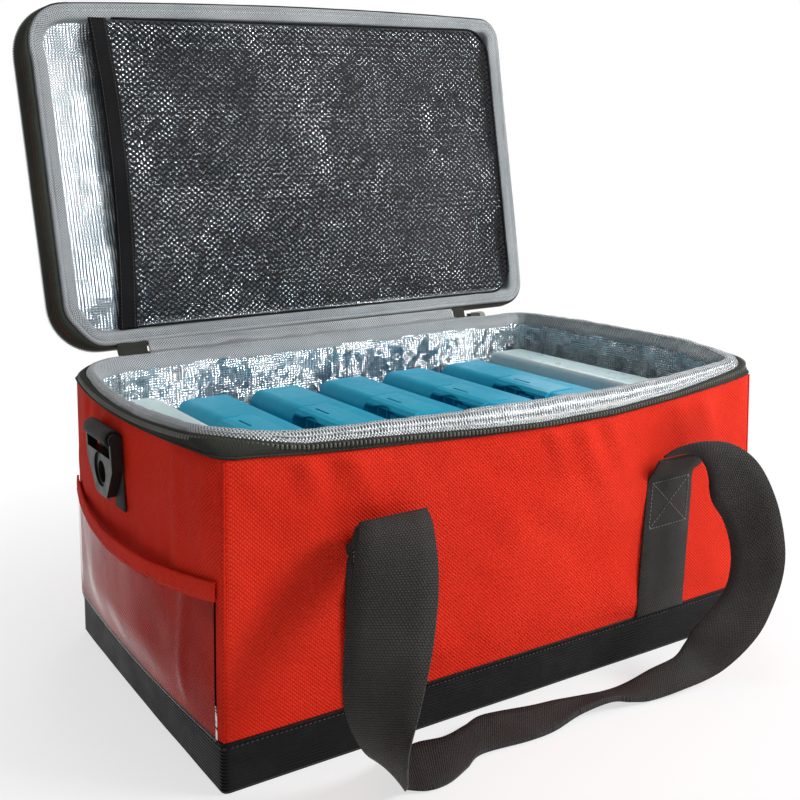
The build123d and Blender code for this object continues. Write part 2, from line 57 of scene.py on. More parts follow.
LID_FACE = 234.4                    # inner face of the closed lid
LID_OPEN = math.radians(100.0)
LID_POINTS = (130, 80, 130, 80)
LID_SKEW = 8.0                      # how far the lid's left front corner lies behind its right one
LID_RADII = (42.0, 20.0, 20.0, 38.0)
UP, DOWN = (0.0, 0.0, 1.0), (0.0, 0.0, -1.0)


def bows(z):
    """How far the front, the back and the ends stand out in their middle."""
    k = max(z / SEAM, 0.02)
    return np.array([17.0 * k ** 1.3, 3.0 * k, 15.5 * k ** 0.6])


def plan(z):
    z = min(max(z, 0.0), SEAM)
    i = max(j for j in range(5) if LEVELS[j] <= z)
    share = (z - LEVELS[i]) / (LEVELS[i + 1] - LEVELS[i])
    front, back, end = bows(LEVELS[i]) * (1 - share) + bows(LEVELS[i + 1]) * share
    return HALF_LENGTH - TAPER * z / SEAM, HALF_WIDTH, front, back, end


def corner_curve(p0, corner, p3, k):
    """k points of the quarter-round curve from p0 to p3."""
    t = np.linspace(0, 1, k + 2)[1:-1, None]
    p1 = p0 + (corner - p0) * 0.5523
    p2 = p3 + (corner - p3) * 0.5523
    return (1 - t) ** 3 * p0 + 3 * (1 - t) ** 2 * t * p1 + 3 * (1 - t) * t ** 2 * p2 + t ** 3 * p3


def loop(z, off, r, n=WALL_POINTS, at=None):
    """Closed outline of the bag at height z, moved out by off, with one corner radius or four, drawn at height at."""
    radii = [max(v, 2.0) for v in (r if isinstance(r, tuple) else (r,) * 4)]
    hx, hy, bf, bb, be = plan(z)
    hx, hy = hx + off, hy + off

    def side(i, t):
        x = 2 * np.atleast_1d(t) - 1
        bulge = 1 - x * x
        rows = ((x * hx, -hy - bf * bulge), (hx + be * bulge, x * hy),
                (-x * hx, hy + bb * bulge), (-hx - be * bulge, -x * hy))
        return np.stack(rows[i], -1)
    out = []
    for i in range(4):
        length, after = ((2 * hx, 2 * hy), (2 * hy, 2 * hx))[i % 2]
        out.append(side(i, np.linspace(radii[i - 1] / length, 1 - radii[i] / length, n[i])))
        start = side((i + 1) % 4, radii[i] / after)[0]
        out.append(corner_curve(out[-1][-1], side(i, 1.0)[0], start, CORNER_POINTS))
    p = np.concatenate(out)
    return np.column_stack([p, np.full(len(p), z if at is None else at)])


def rim_loop(off, z):
    """Outline of the rim at height z, moved out by off. Its left corners are rounder than its right ones."""
    right, left = 19.0 + off, 42.0 + off
    return loop(SEAM, off, (right, right, left, left), at=z)


def lid_loop(off, z):
    """Closed outline of the closed lid, z above its inner face. Its left end is rounder and hangs a little."""
    hx, rear, front = HALF_LENGTH + off, 146.0 + off, -139.0 - off
    radii = [max(v + off, 3.0) for v in LID_RADII]
    corners = np.array([(-hx, front + LID_SKEW), (hx, front), (hx, rear), (-hx, rear + 3.0)])
    out = []
    for i in range(4):
        a, b, c = corners[i], corners[(i + 1) % 4], corners[(i + 2) % 4]
        d, e = (b - a) / np.linalg.norm(b - a), (c - b) / np.linalg.norm(c - b)
        t = np.linspace(0, 1, LID_POINTS[i])[:, None]
        r, r2 = radii[i], radii[(i + 1) % 4]
        line = (a + d * r) * (1 - t) + (b - d * r2) * t
        if i == 0:
            line[:, 1] -= 4.0 * (1 - (2 * t[:, 0] - 1) ** 2)
        out += [line, corner_curve(b - d * r2, b, b + e * r2, 10)]
    p = np.concatenate(out)
    return np.column_stack([p, np.full(len(p), LID_FACE + z)])


def between(offs, loops, off):
    """Outline whose offset differs from point to point, from outlines made at the offsets offs."""
    off = np.clip(off, offs[0], offs[-1])
    i = np.clip(np.searchsorted(offs, off) - 1, 0, len(offs) - 2)
    t = ((off - offs[i]) / (offs[i + 1] - offs[i]))[:, None]
    k = np.arange(loops.shape[1])
    return loops[i, k] * (1 - t) + loops[i + 1, k] * t


def opened(p):
    """Closed lid coordinates turned to the open pose."""
    p = np.array(p, float)
    y, z = p[..., 1] - HINGE[0], p[..., 2] - HINGE[1]
    c, s = math.cos(LID_OPEN), math.sin(LID_OPEN)
    return np.stack([p[..., 0], HINGE[0] + y * c + z * s, HINGE[1] - y * s + z * c], -1)


def turned(v):
    """Directions on the closed lid turned to the open pose."""
    return opened(v) - opened(np.zeros_like(v))


# ---- numbers
def vnoise(x, y, seed=0):
    """Smooth value noise between -1 and 1."""
    g = np.random.default_rng(1000 + seed).random((128, 128)) * 2 - 1
    x, y = np.broadcast_arrays(np.asarray(x, float), np.asarray(y, float))
    xi, yi = np.floor(x).astype(int), np.floor(y).astype(int)
    fx, fy = x - xi, y - yi
    fx, fy = fx * fx * (3 - 2 * fx), fy * fy * (3 - 2 * fy)
    a, b = g[xi % 128, yi % 128], g[(xi + 1) % 128, yi % 128]
    c, d = g[xi % 128, (yi + 1) % 128], g[(xi + 1) % 128, (yi + 1) % 128]
    return (a * (1 - fx) + b * fx) * (1 - fy) + (c * (1 - fx) + d * fx) * fy


def step(a, b, x):
    """0 before a, 1 past b, and smooth between them."""
    t = np.clip((np.asarray(x, float) - a) / (b - a), 0, 1)
    return t * t * (3 - 2 * t)


def unit(v):
    return v / np.maximum(np.linalg.norm(v, axis=-1, keepdims=True), 1e-9)


def normals_of(p):
    """Unit normals of a closed grid (rows, columns, 3)."""
    return unit(np.cross(np.roll(p, -1, 1) - np.roll(p, 1, 1), np.gradient(p, axis=0)))


def outward(p):
    """Normals of a closed grid round the z axis, all pointing away from it."""
    n = -normals_of(p)
    return np.where((n[..., :1] * p[..., :1] + n[..., 1:2] * p[..., 1:2]) < 0, -n, n)


def run_length(p):
    """Distance along a line of points, from 0."""
    return np.concatenate([[0], np.cumsum(np.linalg.norm(np.diff(p, axis=0), axis=1))])


def spline(points, n):
    """Catmull-Rom curve through rows of numbers, resampled to n rows."""
    p = np.array(points, float)
    p = np.vstack([2 * p[0] - p[1], p, 2 * p[-1] - p[-2]])
    out = []
    for i in range(1, len(p) - 2):
        t = np.linspace(0, 1, 24, endpoint=False)[:, None]
        a, b, c, d = p[i - 1], p[i], p[i + 1], p[i + 2]
        out.append(0.5 * (2 * b + (c - a) * t + (2 * a - 5 * b + 4 * c - d) * t ** 2
                          + (3 * b - a - 3 * c + d) * t ** 3))
    out = np.vstack(out + [p[-2:-1]])
    s = run_length(out[:, :3])
    at = np.linspace(0, s[-1], n)
    return np.column_stack([np.interp(at, s, out[:, i]) for i in range(out.shape[1])])


def add_object(name, data):
    ob = bpy.data.objects.new(name, data)
    bpy.context.scene.collection.objects.link(ob)
    return ob


def make(name, verts, faces, mat, body, uv, smooth=True):
    """A mesh object in metres, with one (u, v) in metres for each vertex."""
    me = bpy.data.meshes.new(name)
    me.from_pydata((np.asarray(verts, float) / 1000).tolist(), [], [tuple(int(i) for i in f) for f in faces])
    me.validate()
    layer = me.uv_layers.new(name="UVMap")
    index = np.zeros(len(me.loops), int)
    me.loops.foreach_get("vertex_index", index)
    layer.data.foreach_set("uv", np.asarray(uv, float)[index].ravel())
    me.polygons.foreach_set("use_smooth", [smooth] * len(me.polygons))
    me.materials.append(M[mat])
    ob = add_object(name, me)
    if body:
        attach(ob, body)
    return ob


def grid_faces(rows, cols, closed=False):
    i, j = np.meshgrid(np.arange(rows - 1), np.arange(cols if closed else cols - 1), indexing="ij")
    k = (j + 1) % cols
    return np.stack([i * cols + j, i * cols + k, (i + 1) * cols + k, (i + 1) * cols + j], -1).reshape(-1, 4)


def thicken(ob, metres, offset):
    m = ob.modifiers.new("thickness", "SOLIDIFY")
    m.thickness, m.offset = metres, offset


def grid(name, p, mat, body, closed=False, thick=0.0, side=-1.0):
    """A sheet through a grid of points (rows, columns, 3), with real thickness if given."""
    if closed:
        p = np.concatenate([p, p[:, :1]], 1)
    rows, cols = p.shape[:2]
    uv = np.stack(np.meshgrid(run_length(p[rows // 2]) / 1000, run_length(p[:, cols // 2]) / 1000), -1).reshape(-1, 2)
    ob = make(name, p.reshape(-1, 3), grid_faces(rows, cols), mat, body, uv)
    if closed:
        ob.modifiers.new("weld", "WELD").merge_threshold = 1e-5
    if thick:
        thicken(ob, thick / 1000, side)
    return ob


def band(name, left, right, thick, body):
    """Webbing: two edge lines (n, 3) and a thickness, with rounded edges and closed ends."""
    mid, across = (left + right) / 2, (right - left) / 2
    lift = unit(np.cross(across, np.gradient(mid, axis=0)))
    half = np.linalg.norm(across, axis=1, keepdims=True)
    t = np.asarray(thick, float).reshape(-1, 1) / 2 * np.ones((len(mid), 1))
    us = (1, 0.55, 0.15, 0, -0.15, -0.55, -1)
    ring = [(1, 0.55)] + [(u, 1.0) for u in us] + [(-1, 0.55), (-1, -0.55)] + [(u, -1.0) for u in us[::-1]]
    pts, uv = [], []
    s = run_length(mid) / 1000
    for u, w in ring + [(1, -0.55)]:
        inset = 0.3 if abs(w) == 1.0 and abs(u) == 1 else 0.0
        pts.append(mid + across / half * (half - inset) * u + lift * t * w)
        uv.append(np.stack([half[:, 0] * u / 1000, s], -1))
    p, uv = np.stack(pts, 1), np.stack(uv, 1)
    rows, cols = p.shape[:2]
    faces = grid_faces(rows, cols, True).tolist()
    faces += [list(range(cols))[::-1], list(range((rows - 1) * cols, rows * cols))]
    mat = "edge" if "binding" in name else "webbing"
    ob = make(name, p.reshape(-1, 3), faces, mat, body, uv.reshape(-1, 2))
    ob.data.polygons.foreach_set("use_smooth", [len(f.vertices) == 4 for f in ob.data.polygons])
    return ob


def tube(name, path, radius, mat, body, closed=False, sides=8):
    """A round cord along a line of points."""
    p = np.asarray(path, float)
    run = unit((np.roll(p, -1, 0) - np.roll(p, 1, 0)) if closed else np.gradient(p, axis=0))
    a = unit(np.cross(run, UP))
    b = np.cross(a, run)
    ang = np.linspace(0, 2 * math.pi, sides, endpoint=False)
    ring = p[:, None] + radius * (np.cos(ang)[None, :, None] * a[:, None] + np.sin(ang)[None, :, None] * b[:, None])
    uv = np.stack(np.meshgrid(ang * radius / 1000, run_length(p) / 1000), -1)
    faces = grid_faces(len(p), sides, True).tolist()
    last = (len(p) - 1) * sides
    if closed:
        faces += [[last + j, last + (j + 1) % sides, (j + 1) % sides, j] for j in range(sides)]
    else:
        faces += [list(range(sides))[::-1], list(range(last, last + sides))]
    return make(name, ring.reshape(-1, 3), faces, mat, body, uv.reshape(-1, 2))


def bits(name, centres, along, across, up, size, mat, body, bevel, slot=None):
    """Many small rounded bars in one mesh: stitches or zip teeth. size is (along, across, up)."""
    n, e = len(centres), 1 - bevel
    square = [(-e, -e), (e, -e), (e, e), (-e, e)]
    corners = [(-1, *q) for q in square] + [(0, -1, -1), (0, 1, -1), (0, 1, 1), (0, -1, 1)]
    corners += [(1, *q) for q in square]
    verts = np.stack([centres + along * (x * size[0] / 2) + across * (y * size[1] / 2) + up * (z * size[2] / 2)
                      for x, y, z in corners], 1)
    one = [(3, 2, 1, 0), (8, 9, 10, 11)]
    for k in (0, 4):
        one += [(k + j, k + (j + 1) % 4, k + 4 + (j + 1) % 4, k + 4 + j) for j in range(4)]
    faces = (np.array(one)[None] + (np.arange(n) * 12)[:, None, None]).reshape(-1, 4)
    return make(name, verts.reshape(-1, 3), faces, mat, body, np.repeat(centres[:, :2] / 1000, 12, 0))


def along_line(path, pitch, closed=False):
    """Evenly spaced centres and directions along a line of points."""
    p = np.vstack([path, path[:1]]) if closed else np.asarray(path, float)
    s = run_length(p)
    at = np.arange(pitch / 2, s[-1], pitch)
    c, after, before = (np.column_stack([np.interp(at + d, s, p[:, i]) for i in range(3)]) for d in (0, 0.5, -0.5))
    return c, unit(after - before)


def stitches(name, path, normal, mat, body, pitch, length, width=0.6, closed=False, slot=None):
    """A line of thread stitches lying on a surface."""
    c, d = along_line(path, pitch, closed)
    b = unit(np.cross(np.broadcast_to(np.asarray(normal, float), c.shape), d))
    bits(name, c, d, b, np.cross(d, b), (length, width, 0.5), mat, body, 0.4, slot)


def teeth(name, line, pitch, gap, across, size, body):
    """Moulded zip teeth along a closed line, but none at the back between the two x of gap."""
    c, d = along_line(line, pitch, True)
    shown = ~((c[:, 1] > 120) & (c[:, 0] > gap[0]) & (c[:, 0] < gap[1]))
    c, d = c[shown], d[shown]
    ways = [d, np.tile(across, (len(c), 1)), np.cross(d, UP)]
    if body == "lid":
        c, ways = opened(c), [turned(way) for way in ways]
    return bits(name, c, *ways, size, "teeth", body, 0.3)


# ---- materials
def rgba(value):
    return (*value, 1) if isinstance(value, tuple) and len(value) == 3 else value


class Nodes:
    """A small builder for node trees."""

    def __init__(self, tree):
        self.tree = tree

    def node(self, kind, links=(), **props):
        n = self.tree.nodes.new("ShaderNode" + kind)
        for key, value in props.items():
            setattr(n, key, value)
        for socket, value in links:
            self.put(n.inputs[socket], value)
        return n

    def put(self, socket, value):
        if isinstance(value, bpy.types.NodeSocket):
            self.tree.links.new(value, socket)
        else:
            socket.default_value = value

    def math(self, op, a, b=0.0, c=0.0, clamp=False):
        return self.node("Math", [(0, a), (1, b), (2, c)], operation=op, use_clamp=clamp).outputs[0]

    def vector(self, op, a, b, out=0):
        return self.node("VectorMath", [(0, a), (1, b)], operation=op).outputs[out]

    def ramp(self, value, low, high, a=0.0, b=1.0):
        links = [("Value", value), ("From Min", low), ("From Max", high), ("To Min", a), ("To Max", b)]
        return self.node("MapRange", links).outputs[0]

    def mix(self, fac, a, b):
        n = self.node("Mix", data_type="RGBA")
        for socket, value in (("Factor", fac), (6, rgba(a)), (7, rgba(b))):
            self.put(n.inputs[socket], value)
        return n.outputs[2]

    def blend(self, fac, a, b):
        """Two shaders mixed."""
        return self.node("MixShader", [(0, fac), (1, a), (2, b)]).outputs[0]

    def seen_rays(self, path):
        """1 for camera, glossy and transmission rays."""
        both = self.math("ADD", path["Is Camera Ray"], path["Is Glossy Ray"], clamp=True)
        return self.math("ADD", both, path["Is Transmission Ray"], clamp=True)


class Shader(Nodes):
    """A material's node tree, built round one Principled shader."""

    def __init__(self, name, rough=0.5, metal=0.0, **fixed):
        self.mat = bpy.data.materials.new(name)
        self.mat.use_nodes = True
        super().__init__(self.mat.node_tree)
        self.bsdf = self.tree.nodes["Principled BSDF"]
        for key, value in {"Roughness": rough, "Metallic": metal, **fixed}.items():
            self.bsdf.inputs[key.replace("_", " ")].default_value = value
        coord = self.node("TexCoord")
        self.uv, self.place = coord.outputs["UV"], coord.outputs["Object"]

    def noise(self, scale, detail=3.0, rough=0.55):
        links = [("Vector", self.place), ("Scale", scale), ("Detail", detail), ("Roughness", rough)]
        return self.node("TexNoise", links).outputs["Fac"]

    def threads(self, x, y):
        """The UV's two parts, each divided by a pitch in metres."""
        parts = self.node("SeparateXYZ", [(0, self.uv)]).outputs
        return self.math("DIVIDE", parts[0], x), self.math("DIVIDE", parts[1], y)

    def wave(self, value):
        return self.math("SINE", self.math("MULTIPLY", value, 2 * math.pi))

    def rib(self, value):
        return self.math("ABSOLUTE", self.wave(self.math("MULTIPLY", value, 0.5)))

    def colour(self, value):
        self.put(self.bsdf.inputs["Base Color"], rgba(value))

    def bump(self, height, distance, strength=1.0, under=None):
        links = [("Height", height), ("Distance", distance), ("Strength", strength)]
        out = self.node("Bump", links + ([("Normal", under)] if under else [])).outputs[0]
        self.put(self.bsdf.inputs["Normal"], out)
        return out

    def roughness(self, value):
        self.put(self.bsdf.inputs["Roughness"], value)


def cloth(name, base, weave_shade_and_fleck, light, pitch, rough, shine=0.5, depth=0.00016, metal=0.0):
    """Plain woven cloth: crossing threads, uneven dye, painted shade in the hollows of the weave, and darker flecks."""
    s = Shader(name, rough, metal, Specular_IOR_Level=shine)
    u, v = s.threads(pitch[0] * 2, pitch[1] * 2)
    weave = s.math("MULTIPLY", s.wave(u), s.wave(v))
    thread = s.math("ABSOLUTE", s.wave(u))
    height = s.math("MULTIPLY_ADD", weave, 0.5, s.math("MULTIPLY", thread, 0.25))
    fine = s.noise(900.0, 2.0)
    low, most = (-0.45, 0.93) if metal else (-0.8, 0.6)
    tone = s.mix(s.ramp(s.noise(14.0, 4.0), 0.35, 0.7), base, light)
    # painted shade: the threads darken where they dip under, in the hollows of the weave
    tone = s.mix(s.ramp(weave, 0.15, low, 0.0, most), tone, weave_shade_and_fleck)
    s.colour(s.mix(s.ramp(fine, 0.55, 0.8, 0.0, 0.5), tone, weave_shade_and_fleck))
    s.roughness(s.ramp(fine, 0.3, 0.7, rough - 0.08, min(rough + 0.1, 1.0)))
    ripple = s.bump(s.noise(95.0), 0.0020, 0.9) if metal else s.bump(s.noise(55.0), 0.0006, 0.5)
    s.bump(height, depth * 1.5, 1.0, ripple)
    return s.mat


def surface(name, tone, colours, sheen, grain, **fixed):
    """A smooth surface from three noises, for its colour, roughness and bump, each with its ramp or depth."""
    s = Shader(name, **fixed)
    s.colour(s.mix(s.ramp(s.noise(*tone[0]), *tone[1]), *colours))
    s.roughness(s.ramp(s.noise(*sheen[0]), *sheen[1]))
    s.bump(s.noise(*grain[0]), *grain[1])
    return s.mat


def plastic(name, base, light, rough, grain, depth, shine=0.5):
    return surface(name, ((24.0, 4.0, 0.6), (0.3, 0.75)), (base, light),
                   ((90.0, 4.0, 0.65), (0.3, 0.7, rough - 0.06, rough + 0.1)), ((grain, 2.0), (depth, 0.8)),
                   rough=rough, Specular_IOR_Level=shine)


def webbing_material():
    s = Shader("ribbed_webbing", 0.62, Specular_IOR_Level=0.12)
    u, v = s.threads(0.0021, 0.0016)
    u = s.math("MULTIPLY_ADD", s.math("MODULO", s.math("FLOOR", v), 2.0), 0.5, u)
    height = s.math("MULTIPLY", s.math("POWER", s.rib(u), 0.6), s.math("POWER", s.rib(v), 0.6))
    base = s.mix(s.ramp(s.noise(22.0, 4.0), 0.35, 0.7), (0.038, 0.0355, 0.033), (0.056, 0.053, 0.050))
    # painted shade in the grooves between the ribs
    base = s.mix(s.ramp(height, 0.45, 0.05), base, (0.010, 0.0095, 0.009))
    fibre = s.noise(1400.0, 2.0)
    # painted highlights: light flecks that stand for glints on the fibres
    s.colour(s.mix(s.ramp(fibre, 0.58, 0.72, 0.0, 0.5), base, (0.10, 0.095, 0.09)))
    s.roughness(s.ramp(fibre, 0.3, 0.7, 0.5, 0.72))
    s.bump(height, 0.0004, 1.0, s.bump(s.noise(60.0, 2.0), 0.0005, 0.4))
    return s.mat


def foil_material(name, metal, rough, facet):
    """Metallised film: flat facets that tilt at random, a fine square scrim pressed into it, and dull patches."""
    s = Shader(name, rough, metal)
    u, v = s.threads(0.0027, 0.0021)
    warp = s.math("MULTIPLY", s.math("SUBTRACT", s.noise(70.0, 2.0), 0.5), 0.6)
    cell = s.math("MULTIPLY", s.rib(s.math("ADD", u, warp)), s.rib(s.math("ADD", v, warp)))
    tone = s.mix(s.ramp(s.noise(22.0, 4.0), 0.4, 0.7), (0.83, 0.87, 0.90), (0.46, 0.53, 0.58))
    # painted shade: darker along the scrim's lines, where the film is pressed in
    s.colour(s.mix(s.ramp(cell, 0.20, 0.02, 0.0, 0.7), tone, (0.30, 0.34, 0.37)))
    s.roughness(s.ramp(s.noise(48.0), 0.35, 0.7, rough - 0.05, rough + 0.1))
    under = s.bump(s.noise(30.0, 2.0), 0.0030, 0.8)
    for scale, tilt in ((75.0, facet), (210.0, facet * 0.8)):
        shift = s.node("TexNoise", [("Vector", s.place), ("Scale", scale * 0.7)]).outputs["Color"]
        bent = s.vector("ADD", s.place, s.vector("MULTIPLY", shift, (0.3 / scale,) * 3))
        cells = s.node("TexVoronoi", [("Vector", bent), ("Scale", scale)]).outputs
        away = s.vector("SUBTRACT", bent, cells["Position"])
        lean = s.vector("SUBTRACT", cells["Color"], (0.5, 0.5, 0.5))
        under = s.bump(s.vector("DOT_PRODUCT", away, lean, "Value"), tilt, 1.0, under)
    s.bump(cell, 0.0004, 0.9, under)
    return s.mat


def foam_material():
    s = Shader("insulation_foam", 0.9)
    cells = s.node("TexVoronoi", [("Vector", s.place), ("Scale", 900.0)]).outputs["Distance"]
    # painted shade: darker in the hollows of the cells
    s.colour(s.mix(s.ramp(cells, 0.2, 0.7), (0.74, 0.74, 0.72), (0.86, 0.86, 0.84)))
    s.bump(cells, 0.0003, 0.8)
    return s.mat


SEWING = (0.0004, 0.0004)
CLOTHS = {      # name, middle colour, colour of the painted shade in the weave's hollows and of the flecks, light colour, pitches of the threads, roughness, shine, depth, metal
    "red": ("red_cloth", (0.76, 0.026, 0.009), (0.36, 0.008, 0.003), (0.84, 0.036, 0.014),
            (0.0014, 0.0014), 0.7, 0.10, 0.0003),
    "silver": ("silver_cloth", (0.52, 0.55, 0.57), (0.03, 0.034, 0.038), (0.70, 0.73, 0.745),
               (0.0011, 0.0011), 0.35, 0.5, 0.0003, 0.5),
    "tape": ("zip_tape_cloth", (0.034, 0.036, 0.029), (0.012, 0.013, 0.010), (0.060, 0.063, 0.052),
             (0.0009, 0.0013), 0.75, 0.15),
    "edge": ("black_binding", (0.006, 0.006, 0.0065), (0.002,) * 3, (0.015, 0.015, 0.016),
             (0.0009, 0.0009), 0.65, 0.12),
    "net": ("net_yarn", (0.008, 0.008, 0.009), (0.003,) * 3, (0.018, 0.018, 0.02), (0.0005, 0.0005), 0.55, 0.18),
    "thread_red": ("red_thread", (0.5, 0.03, 0.015), (0.3, 0.01, 0.006), (0.62, 0.05, 0.03), SEWING, 0.55),
    "thread_grey": ("grey_thread", (0.16, 0.155, 0.15), (0.07, 0.07, 0.068), (0.24, 0.235, 0.23), SEWING, 0.55),
    "thread_black": ("black_thread", (0.02,) * 3, (0.006,) * 3, (0.045,) * 3, SEWING, 0.5),
    "thread_silver": ("silver_thread", (0.5, 0.51, 0.52), (0.25, 0.26, 0.27), (0.7, 0.71, 0.72), SEWING, 0.5)}
PLASTICS = {    # name, colour, lighter colour, roughness, scale of the grain, its depth, shine
    "blue": ("blue_plastic", (0.008, 0.345, 0.53), (0.011, 0.385, 0.575), 0.42, 2600.0, 0.00003, 0.3),
    # painted light: the latches' blue is a lighter copy of the cases' blue, for the light on their raised tops
    "blue_latch": ("blue_latch_plastic", (0.012, 0.37, 0.555), (0.016, 0.41, 0.60), 0.36, 2600.0, 0.00002),
    "black": ("black_plastic", (0.006, 0.0055, 0.0055), (0.014, 0.013, 0.013), 0.38, 1800.0, 0.00004, 0.25),
    "teeth": ("zip_teeth", (0.075, 0.078, 0.065), (0.13, 0.135, 0.115), 0.36, 3000.0, 0.00002),
    "pull": ("pull_plastic", (0.36, 0.35, 0.28), (0.43, 0.42, 0.35), 0.4, 1500.0, 0.00003),
    "slider": ("slider_metal", (0.03, 0.03, 0.03), (0.10, 0.10, 0.095), 0.3, 900.0, 0.00002),
    "board": ("base_board", (0.12,) * 3, (0.16,) * 3, 0.6, 700.0, 0.00005)}
M = {key: cloth(*row) for key, row in CLOTHS.items()} | {key: plastic(*row) for key, row in PLASTICS.items()}
M |= {"webbing": webbing_material(), "foam": foam_material(), "foil": foil_material("foil_wall", 0.88, 0.20, 0.55),
      "foil_lid": foil_material("foil_face", 0.95, 0.14, 0.17)}
SCUFF, HAZE = (38.0, 5.0, 0.65), (20.0, 4.0, 0.6)
M["vinyl"] = surface("ribbed_vinyl", (SCUFF, (0.5, 0.75)), ((0.0045, 0.0038, 0.004), (0.012, 0.0105, 0.011)),
                     (SCUFF, (0.3, 0.75, 0.34, 0.55)), ((700.0,), (0.00008, 0.7)), rough=0.42,
                     Specular_IOR_Level=0.13)
M["plate"] = surface("cold_plate_shell", ((16.0, 4.0), (0.35, 0.7)), ((0.55, 0.72, 0.73), (0.63, 0.79, 0.80)),
                     ((70.0,), (0.3, 0.7, 0.24, 0.42)), ((160.0, 2.0), (0.00005, 0.6)), rough=0.3, IOR=1.45,
                     Subsurface_Weight=0.4, Subsurface_Scale=0.02)
# the film's grey-red tint is partly its own and partly painted shade, darkened for the shade on the bag's left end
M["film"] = surface("clear_film", (HAZE, (0.35, 0.7)), ((0.66, 0.58, 0.58), (0.86, 0.82, 0.82)),
                    (HAZE, (0.35, 0.75, 0.01, 0.04)), ((9.0, 2.0), (0.0024, 0.8)), rough=0.08, IOR=1.05,
                    Transmission_Weight=1.0, Specular_IOR_Level=0.3, Coat_Weight=0.05, Coat_Roughness=0.03)


# ---- camera, light, floor
def make_camera():
    """The photograph's solved camera."""
    az, el, roll = math.radians(-32.005), math.radians(12.895), math.radians(-0.745)
    back = Vector((math.sin(az) * math.cos(el), -math.cos(az) * math.cos(el), math.sin(el)))
    right = Vector((0, 0, 1)).cross(back).normalized()
    up = back.cross(right)
    across = math.cos(roll) * right + math.sin(roll) * up
    upright = -math.sin(roll) * right + math.cos(roll) * up
    data = bpy.data.cameras.new("camera")
    data.lens, data.sensor_width, data.clip_start = 49.47, 36.0, 0.05
    cam = add_object("camera", data)
    place = Matrix((across, upright, back)).transposed().to_4x4()
    place.translation = (-0.4672, -0.7290, 0.3937)
    cam.matrix_world = place
    bpy.context.scene.camera = cam


def area(name, place, target, size, power):
    data = bpy.data.lights.new(name, "AREA")
    data.shape, data.size, data.size_y, data.energy = "RECTANGLE", size[0], size[1], power
    ob = add_object(name, data)
    ob.location = place
    ob.rotation_euler = (Vector(target) - Vector(place)).to_track_quat("-Z", "Y").to_euler()


def make_studio():
    """White backdrop, soft sky, and for shiny pieces a dim room with one broad bright window."""
    scene = bpy.context.scene
    scene.view_settings.view_transform = "Standard"
    scene.world = bpy.data.worlds.new("studio")
    scene.world.use_nodes = True
    t = Nodes(scene.world.node_tree)
    t.tree.nodes.clear()
    path = t.node("LightPath").outputs
    way = t.node("TexCoord").outputs["Generated"]

    def background(colour, strength):
        return t.node("Background", [(0, colour), (1, strength)]).outputs[0]

    def colours(value, *stops):
        ramp = t.node("ValToRGB", [(0, value)])
        for element, (position, colour) in zip(ramp.color_ramp.elements, stops):
            element.position, element.color = position, rgba(colour)
        return ramp.outputs[0]
    height = t.node("SeparateXYZ", [(0, way)]).outputs[2]
    sky = background(colours(height, (0.0, (0.30, 0.30, 0.31)), (0.75, (0.62, 0.63, 0.64))), 0.50)
    window = t.vector("DOT_PRODUCT", way, (0.31, -0.92, 0.24), "Value")
    room = background(colours(window, (0.94, (0.06, 0.07, 0.08)), (0.985, (1.0, 1.0, 1.0))), 1.0)
    beyond = t.ramp(t.vector("DOT_PRODUCT", way, (0.53, 0.85, 0.0), "Value"), 0.05, 0.35)
    beyond = t.math("MULTIPLY", t.seen_rays(path), beyond, clamp=True)
    white = t.math("ADD", beyond, path["Is Camera Ray"], clamp=True)
    light = t.blend(white, t.blend(path["Is Glossy Ray"], sky, room), background((1, 1, 1, 1), 1.0))
    t.node("OutputWorld", [(0, light)])
    area("key", (1.05, -1.1, 0.98), (0.0, -0.08, 0.14), (0.6, 0.55), 27)
    area("fill", (-1.5, -1.3, 1.0), (0, 0, 0.2), (1.0, 1.2), 2.2)
    area("top", (0.0, 0.1, 1.9), (0, 0, 0), (1.2, 1.0), 6)
    area("back", (0.9, 1.5, 1.2), (0, 0, 0.2), (1.0, 0.8), 6)
    make_floor()


def make_floor(n=60, bend=2.2):
    """Paper that curves up behind the bag and glows away from it, so that only the bag's own shadow shows."""
    s = Shader("floor_paper", 0.9)
    s.colour(s.mix(s.ramp(s.noise(3.0, 2.0), 0.3, 0.7), (0.90, 0.90, 0.90), (0.92, 0.92, 0.92)))
    s.bump(s.noise(300.0, 2.0), 0.0002, 0.2)
    glow = s.node("Emission", [(0, (1, 1, 1, 1)), (1, 1.0)]).outputs[0]
    far = s.node("VectorMath", [(0, s.place)], operation="LENGTH").outputs["Value"]
    keep = s.math("MULTIPLY", s.seen_rays(s.node("LightPath").outputs), s.ramp(far, 0.28, 0.62, 0.66, 1.0))
    s.put(s.tree.nodes["Material Output"].inputs[0], s.blend(keep, s.bsdf.outputs[0], glow))
    xx, yy = np.meshgrid(np.linspace(-4, 4, n), np.linspace(-3, 4.5, n))
    zz = np.where(yy > bend, (yy - bend) ** 2 * 0.55, 0.0) - 0.0004
    me = bpy.data.meshes.new("floor")
    me.from_pydata(np.stack([xx, yy, zz], -1).reshape(-1, 3).tolist(), [], grid_faces(n, n).tolist())
    me.polygons.foreach_set("use_smooth", [True] * len(me.polygons))
    me.materials.append(s.mat)
    add_object("floor", me)


# ---- bag walls and base
# upright folds: wall, depth, place along it, lean, the level where it has that place, width, where it grows out
FOLDS = (("front", 1.6, -175, 0.25, 190, 9.0, 150, 195), ("front", -1.8, -160, 0.2, 190, 8.0, 140, 200),
         ("left", 1.8, -92, 0.2, 120, 14.0, 60, 120), ("left", -2.0, -66, 0.1, 150, 16.0, 120, 170))
